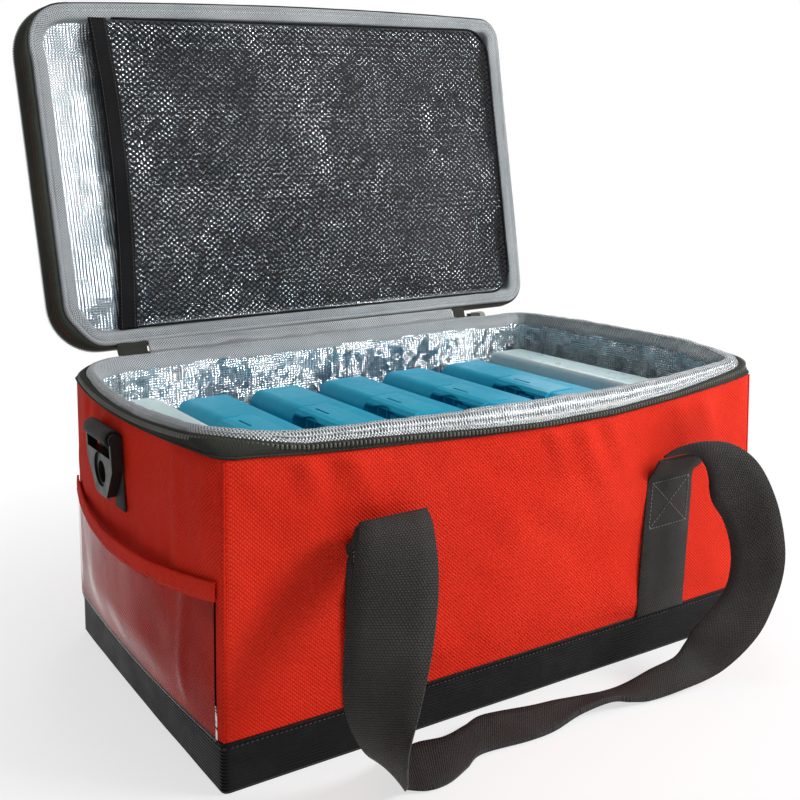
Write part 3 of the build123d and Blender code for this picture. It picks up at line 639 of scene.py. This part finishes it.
# fall of the front rim at SAG_X: the walls' seam, the zip and the padded roll
SAG_X = (-235, -205, -175, -140, -100, -50, 0, 65, 135, 200, 235)
SAGS = ((0.0, 1.0, 3.0, 4.5, 6.0, 8.5, 10.0, 11.0, 8.0, 4.5, 1.0),
        (0.0, 3.0, 8.0, 9.5, 11.5, 15.0, 17.5, 17.5, 14.5, 8.5, 2.0),
        (0.0, 2.5, 5.5, 6.0, 6.5, 7.0, 7.5, 8.0, 8.0, 5.5, 1.5))


def droop(p, kind):
    """The soft rim hangs between its corners, most at the front and a little at the left end.

    kind is 0 at the seam, 1 at the zip and 2 at the padded roll."""
    p = np.array(p, float)
    x, y, z = p[..., 0], p[..., 1], p[..., 2]
    seam, zip_fall, roll = (np.interp(x, SAG_X, v) for v in SAGS)
    kind = np.asarray(kind, float)
    fall = np.where(kind < 1, seam + (zip_fall - seam) * kind, zip_fall + (roll - zip_fall) * (kind - 1))
    fall = fall * step(-70, -132, y) * step(95, 214, z)
    p[..., 2] -= fall
    end = np.where(kind < 1, 6.0 * kind, 6.0 - 2.5 * (kind - 1))
    p[..., 2] -= end * np.clip(1 - (y / 130.0) ** 2, 0, 1) * step(-196, -226, x) * step(95, 214, z)
    p[..., 1] -= 0.12 * fall * (kind > 0.2) * (kind < 1.7)
    return p


def wall_heights(p):
    """How far the cloth stands out at each point of the walls."""
    x, y, z = p[..., 0], p[..., 1], p[..., 2]
    s = np.where(np.abs(y) > 140, x, y + 600)
    d = 0.7 + 1.8 * vnoise(s / 62 + 3 + z / 90, z / 50, 1) + 0.9 * vnoise(s / 24 + z / 50, z / 34, 2)
    d += np.exp(-(SEAM - z) / 28.0) * 3.4 * vnoise(s / 14 + 9 + (z - 200) / 30, z / 90, 3)
    d += np.where(x < -222, 2.0 * vnoise(s / 13 + 2, z / 110, 4) * step(120, 165, z), 0)
    for wall, depth, place, lean, level, width, low, high in FOLDS:
        here, along = (y < -140, x) if wall == "front" else (x < -222, y)
        fold = depth * np.exp(-((along - place + (z - level) * lean) / width) ** 2)
        d += np.where(here, fold * step(low, high, z), 0)
    d *= step(34, 50, z) * (1 - step(209, 217, z))
    return np.maximum(np.where(y > 140, np.minimum(d, 0.5), d), -0.45)


def bag_cover():
    z = np.concatenate([[33.6], np.linspace(35.5, 213, 62), [215.5, 217.2]])
    p = np.stack([loop(h, 0.15, CORNER) for h in z])
    n = outward(p)
    hx = np.array([plan(h)[0] for h in z])[:, None]
    corner = np.hypot(np.maximum(hx - np.abs(p[..., 0]), 0), np.maximum(HALF_WIDTH - np.abs(p[..., 1]), 0))
    p = droop(p + n * (wall_heights(p) * step(0.0, 16.0, corner))[..., None], 0)
    ob = grid("bag_cover", p, "red", "bag", closed=True, thick=1.1)
    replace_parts(ob, "panel_front", "panel_right", "panel_back", "panel_left")
    for i, column in enumerate((124, 208, 336, 420)):
        tube(f"corner_welt_{i + 1}", p[1:-1, column] + 0.35 * n[1:-1, column], 0.85, "red", "bag")


def base(height=34.5, pitch=2.35):
    rows = []
    for h in np.arange(0.0, height + 0.01, 0.32):
        rib = 0.5 * (0.5 + 0.5 * math.cos(2 * math.pi * h / pitch)) ** 0.7
        soft = 0.9 * float(step(0, 2.5, h)) + 0.1
        rows.append(loop(h, -0.1 + rib * soft - 0.9 * (1 - soft), CORNER))
    p = np.stack(rows)
    p[..., :2] += unit(p[..., :2]) * (0.25 * vnoise(p[..., 0] / 40, p[..., 1] / 40, 5))[..., None]
    ob = grid("base_wrap", p, "vinyl", "bag", closed=True, thick=1.2)
    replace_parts(ob, "base_band")
    tube("base_edge", loop(height + 0.1, 0.2, CORNER), 0.75, "vinyl", "bag", closed=True)
    line = loop(31.6, 0.75, CORNER)
    c, _ = along_line(line, 3.4, True)
    out = np.column_stack([unit(c[:, :2]), np.zeros(len(c))])
    stitches("base_stitch", line, out, "thread_black", "bag", 3.4, 2.5, 0.7, True, "base_vinyl")


# ---- rim: tape, teeth, roll, foil
# padded roll from the tape to the foil: offset, height, kind of droop
ROLL = ((-2.6, 226.4, 1.0), (-3.4, 228.8, 1.0), (-4.4, 229.8, 1.1), (-5.4, 230.6, 1.6), (-6.8, 231.5, 2),
        (-8.8, 232.0, 2), (-10.8, 231.4, 2), (-12.2, 229.9, 2), (-13.0, 227.2, 2), (-13.3, 224, 2), (-13.2, 221, 2),
        (-12.9, 218.6, 2))
ROLL_START, ROLL_FOOT = -3.0, 226.0


def rim():
    low, high = loop(SEAM, 0.7, 9.0), rim_loop(0.7, RIM_TOP)
    v = np.linspace(0, 1, 9)
    p = np.stack([low * (1 - t) + high * t for t in v])
    lump = 0.9 * np.sin(math.pi * v)[:, None] + 0.35 * vnoise(run_length(low)[None] / 19, v[:, None] * 2, 11)
    ob = grid("rim_tape_cloth", droop(p + outward(p) * lump[..., None], v[:, None]), "tape", "bag", True, 1.1)
    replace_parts(ob, "rim_tape")
    tube("rim_welt", droop(loop(SEAM, 1.0, 9.0, at=217.6), 0), 0.9, "tape", "bag", closed=True)
    line = droop(rim_loop(1.7, 225.6), 0.8)
    ob = teeth("rim_teeth", line, 2.9, (-190, 164), DOWN, (1.7, 3.0, 2.0), "bag")
    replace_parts(ob, "rim_chain")
    rows = ((0.9, 227.6), (0.3, 228.5), (-1.5, 228.5), (-3.4, 227.9), (-5.2, 227.0))
    grid("rim_tape_top", droop(np.stack([rim_loop(o, h) for o, h in rows]), 1), "tape", "bag", True)
    padded_roll()


def padded_roll():
    """Roll round the mouth, slimmer at the back and ends, where it flares down to the foil."""
    offs = np.array([-16.0, -13.0, -10.0, -7.0, -4.0, -2.0])
    loops = np.stack([rim_loop(o, 0) for o in offs])
    slim = 1 - 0.42 * (1 - step(-95, -135, loops[3, :, 1]))

    def line_at(o, h, share):
        row = between(offs, loops, ROLL_START + (o - ROLL_START) * share)
        row[:, 2] = h - max(h - ROLL_FOOT, 0.0) * 0.25 * (1 - slim)
        return row
    p = np.stack([line_at(o, h, slim + (1 - slim) * float(step(229.5, 219.5, h)) * (o < -11)) for o, h, _ in ROLL])
    s = run_length(p[4])[None]
    n = normals_of(p)
    n = np.where((n * (p.mean(0, keepdims=True) - p)).sum(-1, keepdims=True) > 0, -n, n)
    k = np.arange(len(ROLL))[:, None]
    d = 0.55 * vnoise(s / 7, k * 0.5, 12) + 0.6 * vnoise(s / 30, k * 0.4, 13)
    p = droop(p + n * d[..., None], np.array([kind for _, _, kind in ROLL])[:, None])
    ob = grid("rim_roll_cloth", p, "silver", "bag", closed=True)
    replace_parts(ob, "rim_roll")
    for i, (o, h, kind) in enumerate(((-4.9, 230.5, 1.35), (-12.0, 230.6, 2))):
        line = droop(line_at(o, h, slim), kind)
        stitches(f"roll_stitch_{i + 1}", line, UP, "thread_silver", "bag", 3.4, 2.4, closed=True)


def creases(s, z, count, seed, height, width, tall):
    """Thin pinched folds at random places, upright along z."""
    rng = np.random.default_rng(seed)
    d = np.zeros(np.broadcast(s, z).shape)
    for _ in range(count):
        at, mid, lean = rng.uniform(s.min(), s.max()), rng.uniform(z.min(), z.max()), rng.uniform(-0.15, 0.15)
        long, wide, high = rng.uniform(0.5, 1.5) * tall, rng.uniform(0.6, 1.5) * width, rng.uniform(0.4, 1.2) * height
        run = s - at - lean * (z - mid) - 0.8 * np.sin((z - mid) / 7.0)
        d += high * np.exp(-(run / wide) ** 2) * np.exp(-((z - mid) / long) ** 4)
    return d


def foil_tub(off=-12.9, floor=16.0):
    z = np.concatenate([np.linspace(221, 120, 80), np.linspace(116, 17, 24)])
    offs = np.array([-14.0, -11.0])
    rows = []
    for h in z:
        loops = np.stack([loop(min(h, SEAM), o, 12.0, (260, 170, 260, 170), h) for o in offs])
        rows.append(between(offs, loops, np.full(loops.shape[1], off)))
    p = np.stack(rows)
    s, zz = run_length(p[0])[None], z[:, None]
    d = -0.8 - creases(s, zz, 170, 21, 2.2, 1.3, 22.0) - creases(s, zz, 260, 22, 0.8, 0.9, 8.0)
    d += 1.2 * vnoise(s / 24, zz / 40, 24) + 0.45 * vnoise(s / 9, zz / 12, 25)
    d = np.clip(d, -4.2, 0.2) * step(221, 214, z)[:, None]
    ob = grid("foil_tub", droop(p + outward(p) * d[..., None], 2), "foil", "bag", closed=True)
    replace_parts(ob, "foil_liner")
    xx, yy = np.meshgrid(np.linspace(-224, 224, 60), np.linspace(-135, 135, 40))
    grid("foil_floor", np.stack([xx, yy, np.full_like(xx, floor)], -1), "foil", "bag")


# ---- lid
LID_OFFS = np.array([-30.0, -24.0, -18.0, -12.0, -6.0, 0.0, 3.0])
LID_LOOPS = np.stack([lid_loop(o, 0) for o in LID_OFFS])
# how wide the zip tape shows beside the silver border, which is most at the left front
TAPE_SHOWN = (0.5 + 8.5 * step(-196, -232, LID_LOOPS[5, :, 0]) * step(-137, -80, LID_LOOPS[5, :, 1])
              + 1.5 * step(110, 140, LID_LOOPS[5, :, 1]))
LID_UP = turned(np.array([DOWN]))[0]        # the way the open lid's inner face looks
FOIL_X, FOIL_REAR, FOIL_FRONT = 229, 138, -133
# offset from the outline and height above the inner face; the tape's rows start with their share of TAPE_SHOWN
COVER = ((-1.6, 4.0), (-1.6, 8.0), (-1.2, 12), (0.2, 16.2), (-0.6, 19.6), (-3.4, 21.3), (-7.5, 22.2))
TAPE = ((1.0, 0.5, 2.2), (0.85, 0.6, 1.6), (0.55, 0.7, 2.4), (0.25, 0.9, 4.4), (0.06, 1.3, 7.6), (0, 1.6, 10.5),
        (0, 1.3, 13.4), (0, 1.15, 16.4))
BORDER = ((0.2, 4.5), (0.2, 2.2), (-0.5, 0.6), (-1.8, -0.3), (-3.1, 0.3), (-3.8, 1.3), (-4.6, 1.2), (-8.0, 0.9),
          (-11.0, 1.5), (-12.6, 3.2), (-13.2, 6.2), (-13.6, 11.0))
CORE = ((-120, 13.2), (-60, 13.2), (-4.0, 13.2), (-2.4, 14.2), (-2.4, 18.0), (-5.5, 20.2), (-60, 22.6), (-120, 22.8))


def lid_rows(rows):
    """Lines round the lid from rows of (share of the shown tape, offset, height)."""
    out = []
    for share, off, z in rows:
        row = between(LID_OFFS, LID_LOOPS, off - share * TAPE_SHOWN)
        row[:, 2] = LID_FACE + z
        out.append(row)
    return np.stack(out)


def lid_cover():
    """Red sides and back of the lid, whose rows close on the centre line."""
    profile = COVER + tuple((o, 23.0) for o in np.linspace(-13, -139, 16))
    p = np.stack([lid_loop(o, z) for o, z in profile])
    k = np.arange(len(profile))[:, None]
    p[-1, :, 1] = 3.5 + 4.0 * (p[-1, :, 0] < 0)
    x, y = p[..., 0], p[..., 1]
    crown = 3.0 * (1 - (x / 238) ** 2) * (1 - ((y - 3.5) / 148) ** 2)
    p[..., 2] = np.where(k >= len(COVER), LID_FACE + 22.3 + crown, p[..., 2])
    p[..., 2] += (0.9 * vnoise(x / 55, y / 50, 41) + 0.4 * vnoise(x / 20, y / 20, 42)) * (k > 5)
    ob = grid("lid_cover_cloth", opened(p), "red", "lid", closed=True)
    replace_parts(ob, "lid_cover")


def lid_edges():
    """Zip tape, teeth, silver border and foam of the lid."""
    p = lid_rows(TAPE)
    p[..., 2] += 0.35 * vnoise(run_length(p[0])[None] / 17, np.arange(len(TAPE))[:, None] * 0.6, 44)
    ob = grid("lid_tape_cloth", opened(p), "tape", "lid", closed=True, thick=0.9)
    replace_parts(ob, "lid_tape")
    ob = teeth("lid_teeth", lid_loop(1.3, 14.9), 2.05, (-166, 166), UP, (1.15, 2.9, 2.3), "lid")
    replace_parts(ob, "lid_chain")
    p = lid_rows([(1.0, o, z) for o, z in BORDER])
    s, k = run_length(p[0])[None], np.arange(len(BORDER))[:, None]
    p[..., 2] += 0.5 * vnoise(s / 9, k * 0.5, 46) * (k > 4) + 0.4 * vnoise(s / 40, k * 0.3, 47)
    ob = grid("lid_border_cloth", opened(p), "silver", "lid", closed=True)
    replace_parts(ob, "lid_border")
    line = opened(lid_rows([(1.0, -5.6, 0.75)])[0])
    stitches("border_stitch", line, LID_UP, "thread_silver", "lid", 3.4, 2.4, closed=True)
    ob = grid("lid_core", opened(np.stack([lid_loop(o, z) for o, z in CORE])), "foam", "lid", closed=True)
    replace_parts(ob, "lid_foam")


def sheared(x, y):
    """Y that follows the lid's skewed front."""
    return y + LID_SKEW * (FOIL_X - x) / (2 * FOIL_X) * (FOIL_REAR - y) / (FOIL_REAR - FOIL_FRONT)


def lid_foil():
    xx, yy = np.meshgrid(np.linspace(-FOIL_X, FOIL_X, 230), np.linspace(FOIL_REAR, FOIL_FRONT, 150))
    yy = sheared(xx, yy)
    past = np.clip(np.maximum(-89.0 - yy, yy - 111.0), 0, 33.0)
    xx = np.maximum(xx, -195.5 - np.sqrt(33.5 ** 2 - past ** 2))
    d = 5.0 * vnoise(xx / 58, yy / 44, 54) + 0.7 * vnoise(xx / 26, yy / 22, 51) + 0.10 * vnoise(xx / 7, yy / 6, 53)
    d += creases(xx, yy, 46, 52, 0.9, 1.6, 18.0) + creases(yy, xx, 60, 56, 0.6, 1.4, 20.0)
    d += 2.6 * (1 - (xx / 229) ** 2) * (1 - (yy / 140) ** 2)
    zz = LID_FACE + 10.4 - np.clip(d, -1.0, 7.0)
    ob = grid("lid_foil_sheet", opened(np.stack([xx, yy, zz], -1)), "foil_lid", "lid")
    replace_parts(ob, "lid_foil")


# ---- net of the lid
NET_X, NET_Y = 6.0, 5.0                             # pitch of the net's gaps
NET_RIGHT, NET_REAR, NET_FRONT = 223.0, 131.5, -126.5
GAP = ((-1, 0), (-0.62, -0.62), (0, -1), (0.62, -0.62), (1, 0), (0.62, 0.62), (0, 1), (-0.62, 0.62))
GAP_X, GAP_Y = NET_X * 0.298, NET_Y * 0.298         # half width and height of a gap


def net_left(y):
    """X of the net's open edge at each y, which bows towards the middle."""
    t = (y + 20.0) / 150.0
    return -177.0 + 9.0 * np.clip(1 - t * t, 0, 1)


def net_point(x, y, at):
    """A point of the net, with the slant and height that the net has at another one."""
    sag, wave = 1.6 * math.exp(-((at[0] - 30) / 150) ** 2 - (at[1] / 90) ** 2), math.sin(at[0] / 19 + at[1] / 31)
    return x, sheared(at[0], y), LID_FACE + 2.6 - sag + 0.35 * wave


def in_net(x, y):
    cx, cy = NET_RIGHT - 22, (NET_REAR - 22 if y > 0 else NET_FRONT + 22)
    return not (x > cx and abs(y) > abs(cy) and math.hypot(x - cx, y - cy) > 23)


def lid_net():
    verts, faces, uv, index = [], [], [], {}

    def vert(x, y):
        key = (round(x, 2), round(y, 2))
        if key not in index:
            index[key] = len(verts)
            verts.append(net_point(x, y, (x, y)))
            uv.append((x / 1000, y / 1000))
        return index[key]
    for row in range(1, int((NET_REAR - NET_FRONT) / (NET_Y / 2))):
        y = NET_FRONT + row * NET_Y / 2
        left = float(net_left(np.array(y))) + 3
        x = NET_RIGHT + (math.ceil((left - NET_RIGHT) / NET_X) + 0.5 * (row % 2)) * NET_X
        while x <= NET_RIGHT:
            if x > left and in_net(x, y):
                jx, jy = 0.3 * math.sin(x * 1.7 + y * 2.3), 0.3 * math.cos(x * 2.1 - y * 1.3)
                outer = [vert(x + a * NET_X / 2, y + b * NET_Y / 2) for a, b in GAP[::2]]
                inner = list(range(len(verts), len(verts) + 8))
                for a, b in GAP:
                    verts.append(net_point(x + a * GAP_X + jx, y + b * GAP_Y + jy, (x, y)))
                    uv.append((x / 1000, y / 1000))
                for q in range(4):
                    a, b = outer[q], outer[(q + 1) % 4]
                    faces.append((a, inner[2 * q], inner[2 * q + 1], inner[(2 * q + 2) % 8], b)[::-1])
            x += NET_X
    ob = make("net_mesh", opened(np.array(verts)), faces, "net", "lid", uv, smooth=False)
    thicken(ob, 0.0009, 0.0)
    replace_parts(ob, "lid_net")
    net_binding()
    net_edge()


def net_binding():
    """Black bound band along the net's open edge."""
    y = np.linspace(NET_REAR + 3, NET_FRONT + 2 + 0.8 * LID_SKEW - 3, 90)
    mid = net_left(y)
    half = 7.6 + 0.5 * vnoise(y / 30, 0 * y, 61)
    z = LID_FACE + 2.0 - 0.6 * vnoise(y / 22, 0 * y, 62)
    left, right = np.column_stack([mid - half, y, z + 0.4]), np.column_stack([mid + half, y, z - 0.2])
    ob = band("net_edge_binding", opened(left), opened(right), 1.6, "lid")
    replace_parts(ob, "net_binding")
    for i, o in enumerate((-5.6, 5.6)):
        line = opened(np.column_stack([mid + o, y, z - 0.95]))
        stitches(f"binding_stitch_{i + 1}", line, LID_UP, "thread_black", "lid", 3.2, 2.3, slot="binding")


def net_edge(r=24):
    """Cord in the net's three sewn edges, rounded by r at the two right corners."""
    right, rear, front = NET_RIGHT, NET_REAR, NET_FRONT
    turns = [(r * math.sin(a), r * math.cos(a)) for a in np.linspace(0.1, 1.5, 8)]
    edge = np.array([(net_left(np.array(rear)) + 6, rear + 1.5)]
                    + [(x, rear + 1.5) for x in np.linspace(-150, right - r, 30)]
                    + [(right - r + a, rear - 22.5 + b) for a, b in turns]
                    + [(right + 0.5, y) for y in np.linspace(rear - 26, front + 26, 24)]
                    + [(right - r + b, front + 22.5 - a) for a, b in turns]
                    + [(x, front - 1.5) for x in np.linspace(right - 26, -160, 30)], float)
    x, y = edge.T
    line = np.column_stack([x, sheared(x, y), np.full(len(edge), LID_FACE + 1.9)])
    tube("net_edge_cord", opened(line), 1.1, "net", "lid")


# ---- hinge lining and zip ends
FOLD = ((142.6, 228.0), (146.0, 230.6), (149.0, 231.0), (151.3, 230.2), (153.2, 231.0), (154.4, 233.6),
        (155.0, 236.4), (156.2, 239.0))     # y and z across the fold between bag and lid


def fold_sheet(name, x, mat, thick, wave):
    """A sheet along the fold, drawn in the open lid's bend. wave gives the y and z added at each share of the way."""
    rows = []
    for i, (y, z) in enumerate(spline([(a, b, 0) for a, b in FOLD], 22)[:, :2]):
        dy, dz = wave(i / 21)
        rows.append(np.column_stack([x, y + dy + 0 * x, z + dz]))
    ob = grid(name, np.stack(rows), mat, None, thick=thick)
    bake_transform(ob)
    return ob


def hinge_parts():
    x = np.linspace(-163, 147, 170)

    def ripple(t):
        wave = 1.7 * vnoise(x / 9 + 0.8 * t, 0 * x + t * 1.5, 71) + 1.6 * vnoise(x / 34 + t, 0 * x + t, 72)
        return math.sin(math.pi * t) * wave * 0.8, math.sin(math.pi * t) * wave
    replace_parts(fold_sheet("hinge_lining", x, "silver", 0.5, ripple), "gusset_lower", "gusset_upper")
    left, right = np.linspace(-190, -164.5, 24), np.linspace(148.5, 161.5, 24)
    ob = fold_sheet("zip_end_patch_1", left, "tape", 0.7, lambda t: (0, 0.3 * np.sin(left / 3.0)))
    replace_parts(ob, "zip_ends_lower", "zip_ends_upper")
    fold_sheet("zip_end_patch_2", right, "tape", 0.7, lambda t: (0, 0.3 * np.sin(right / 3.0)))


# ---- straps and handles
STRAP_X = (-125.0, 134.0)
HALF_WEB = 25.0
FOLD_FRONT = (-172.0, 170.0)        # y and z where each handle leaves its sewn straps
FOLD_BACK = (161.0, 167.0)
ONE, PART, TWO = 2.2, 3.2, 4.2      # thickness of the webbing, single, part folded and folded double
FRONT_HANDLE = (                    # both edges of the hanging loop, from its left strap to its right one
    (-150, *FOLD_FRONT, -100, *FOLD_FRONT, ONE), (-155, -179, 163, -105, -187, 163, ONE),
    (-166, -188, 140, -118, -212, 140, ONE), (-177, -199, 108, -134, -230, 108, ONE),
    (-181, -204, 70, -150, -240, 76, ONE), (-168, -201, 38, -160, -243, 52, ONE),
    (-148, -188, 16, -153, -229, 20, ONE), (-129, -173, 6.0, -141, -210, 5.0, ONE),
    (-109, -170, 6.5, -128, -214, 2.0, ONE), (-90, -175, 7.5, -112, -214, 1.6, ONE),
    (-72, -173, 8.5, -92, -206, 1.8, PART), (-54, -170, 9.5, -74, -198, 2.6, TWO),
    (-17, -176, 8.0, -38, -202, 2.6, TWO), (4, -178, 7.0, -15, -202, 3.0, TWO),
    (26, -180, 4.6, 12, -198, 6.0, TWO), (47, -184, 4.0, 36, -202, 10.0, TWO),
    (64, -187, 7.0, 53, -205, 6.0, TWO), (85, -190, 14, 70, -208, 2.8, TWO),
    (103, -197, 23, 99, -211, 3.4, PART), (110, -200, 33, 138, -212, 8, ONE),
    (116, -202, 43, 156, -227, 36, ONE), (130, -203, 54, 170, -230, 61, ONE),
    (147, -202, 67, 181, -228, 83, ONE), (156, -199, 84, 187, -222, 105, ONE),
    (159, -194, 101, 187, -212, 134, ONE), (155, -190, 118, 178, -201, 161, ONE),
    (148, -185, 132, 161, -191, 176, ONE), (149, -180, 147, 138, -184, 180, ONE),
    (156, -175, 161, 119, -178, 177, ONE), (159, *FOLD_FRONT, 109, *FOLD_FRONT, ONE))


def wall_y(x, z, front):
    hx, hy, bf, bb, _ = plan(z)
    return -hy - bf * (1 - (x / hx) ** 2) if front else hy + bb * (1 - (x / hx) ** 2)


def box_stitch(name, x, sign, corners):
    """Stitches on a sewn strap, straight from corner to corner, each given as (x, z) from the strap's middle."""
    pts = []
    for (x0, z0), (x1, z1) in zip(corners, corners[1:]):
        pts += [(x0 + (x1 - x0) * t, z0 + (z1 - z0) * t) for t in np.linspace(0, 1, 14, endpoint=False)]
    pts = [(x + a, wall_y(x + a, z, sign < 0) + sign * 2.7, z) for a, z in pts + [corners[-1]]]
    stitches(name, np.array(pts), (0, float(sign), 0), "thread_grey", "bag", 3.2, 2.3)


def sewn_straps(low=108, high=145):
    for where, sign, fold in (("front", -1, FOLD_FRONT), ("back", 1, FOLD_BACK)):
        for label, x in zip(("left", "right"), STRAP_X):
            a, b = x - HALF_WEB, x + HALF_WEB
            rows = [(a, wall_y(a, z, sign < 0) + sign * 1.5, z, b, wall_y(b, z, sign < 0) + sign * 1.5, z)
                    for z in (34.9, 60, 85, 110, 130, 147)]
            y0 = wall_y(x, 147, sign < 0)
            for share, z in ((0.45, 155.5), (0.78, fold[1] - 4.0)):
                y = y0 + (fold[0] - y0) * share
                rows.append((a, y, z, b, y, z))
            s = spline(rows, 60)
            ob = band(f"strap_{where}_{label}_web", s[:, :3], s[:, 3:], 2.0, "bag")
            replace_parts(ob, f"strap_{where}_{label}")
            box = ((-20, low), (20, low), (20, high), (-20, high), (-20, low), (20, high))
            box_stitch(f"strap_{where}_{label}_stitch_1", x, sign, box)
            box_stitch(f"strap_{where}_{label}_stitch_2", x, sign, ((-20, high), (20, low)))


def handles():
    y, z = FOLD_BACK
    hang = y + 4.0
    half = ((-25, z, 25, z, y, ONE), (-25, z - 8, 25, z - 8, hang, ONE), (-25, 90, 25, 90, hang, ONE),
            (-23, 52, 25, 60, hang, ONE), (-11, 20, 29, 44, hang, ONE), (20, 6, 43, 33, hang, TWO),
            (60, 3, 60, 28, hang, TWO))     # x from the strap and z of both edges, y, thickness
    left, right = STRAP_X
    back = [(left + a, y, za, left + b, y, zb, t) for a, za, b, zb, y, t in half] + [(0, hang, 3, 0, hang, 28, TWO)]
    back += [(right - a, y, za, right - b, y, zb, t) for a, za, b, zb, y, t in half[::-1]]
    for where, rows, n in (("front", FRONT_HANDLE, 420), ("back", back, 320)):
        s = spline(rows, n)
        ob = band(f"handle_{where}_web", s[:, :3], s[:, 3:6], s[:, 6], f"{where}_handle")
        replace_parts(ob, f"handle_{where}")


# ---- ring tabs and pocket
def ring_tabs(x0=249.75, z0=203.0, r=5.4):
    """Webbing loops that go up the ends and round each ring's bar."""
    line = [(x0 - r, 150.0), (x0 - r, 170.0), (x0 - r, 190.0)]
    line += [(x0 + r * math.cos(a), z0 + r * math.sin(a)) for a in np.linspace(math.pi, -0.6 * math.pi, 40)]
    for side, sign in (("left", -1), ("right", 1)):
        s = spline([(sign * a, -12.0, b, sign * a, 36.0, b) for a, b in line], 90)
        ob = band(f"ring_tab_{side}_web", s[:, :3], s[:, 3:], 1.7, "bag")
        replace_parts(ob, f"ring_tab_{side}")


def pocket_x(y, z, gap, bulge):
    """X of the pocket's sheet, which stands off the left end."""
    hx, hy, _, _, be = plan(z)
    t = y / hy
    return -(hx + gap + (be + bulge) * (1 - t * t))


def pocket_top(y):
    return 117.5 - 0.012 * y + 8.5 * (y / 142.0) ** 2


def pocket(foot=35.0):
    y = np.linspace(-142.6, 142.6, 90)
    rows = []
    for t in np.linspace(0, 1, 50):
        z = foot + (pocket_top(y) + 1.5 - foot) * t
        wave = 1.3 * vnoise(y / 34, z / 40, 81) * step(36, 70, z) * (1 - step(132, 142, np.abs(y)))
        fold = 1.2 * np.exp(-((y + 104 + (z - 80) * 0.10) / 5.0) ** 2) * step(40, 60, z)
        x = np.array([pocket_x(a, b, 1.6, g) for a, b, g in zip(y, z, step(35, 75, z) * 7.0)]) - wave - fold
        rows.append(np.column_stack([x, y, z]))
    ob = grid("pocket_window", np.stack(rows), "film", "bag", thick=0.5)
    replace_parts(ob, "pocket_film")
    rows = []
    for t in np.linspace(0, 1, 9):
        z = pocket_top(y) + 12.5 * t
        puff = 0.5 * math.sin(math.pi * t)
        x = np.array([pocket_x(a, b, 1.9, 7.4) for a, b in zip(y, z)]) - puff - 0.35 * vnoise(y / 9, 0 * y + t, 82)
        rows.append(np.column_stack([x, y, z]))
    ob = grid("pocket_edge", np.stack(rows), "red", "bag", thick=1.6, side=0.0)
    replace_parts(ob, "pocket_binding")
    z = pocket_top(y) + 2.2
    line = np.column_stack([[pocket_x(a, b, 3.0, 7.4) for a, b in zip(y, z)], y, z])
    stitches("pocket_stitch", line, (-1.0, 0, 0), "thread_red", "bag", 3.2, 2.3)


# ---- CAD nodes that keep their shape
def dress(node, mat, width=0.0, segments=2):
    """Give a CAD node its material and round its edges by width."""
    ob = NODES[node]
    ob.data.materials.clear()
    ob.data.materials.append(M[mat])
    if width:
        m = ob.modifiers.new("edges", "BEVEL")
        m.width, m.segments, m.limit_method, m.angle_limit = width / 1000, segments, "ANGLE", math.radians(35)


def cad_parts():
    looks = [("zip_slider", "slider", 0.35), ("zip_pull", "pull", 0.4, 3)]
    looks += [("base_board", "board"), ("base_sole", "vinyl")]
    looks += [(f"foam_{place}", "foam") for place in ("front", "right", "back", "left", "bottom")]
    for side in ("left", "right"):
        looks += [(f"ring_{side}", "black", 0.7, 3), (f"cold_plate_{side}", "plate", 1.0)]
    for n in range(1, 6):
        looks += [(f"case_{n}", "blue", 0.8), (f"case_{n}_latch", "blue_latch", 0.4)]
    for look in looks:
        dress(*look)


for build in (make_camera, make_studio, bag_cover, base, rim, foil_tub, lid_cover, lid_edges, lid_foil, lid_net,
              hinge_parts, sewn_straps, handles, ring_tabs, pocket, cad_parts):
    build()
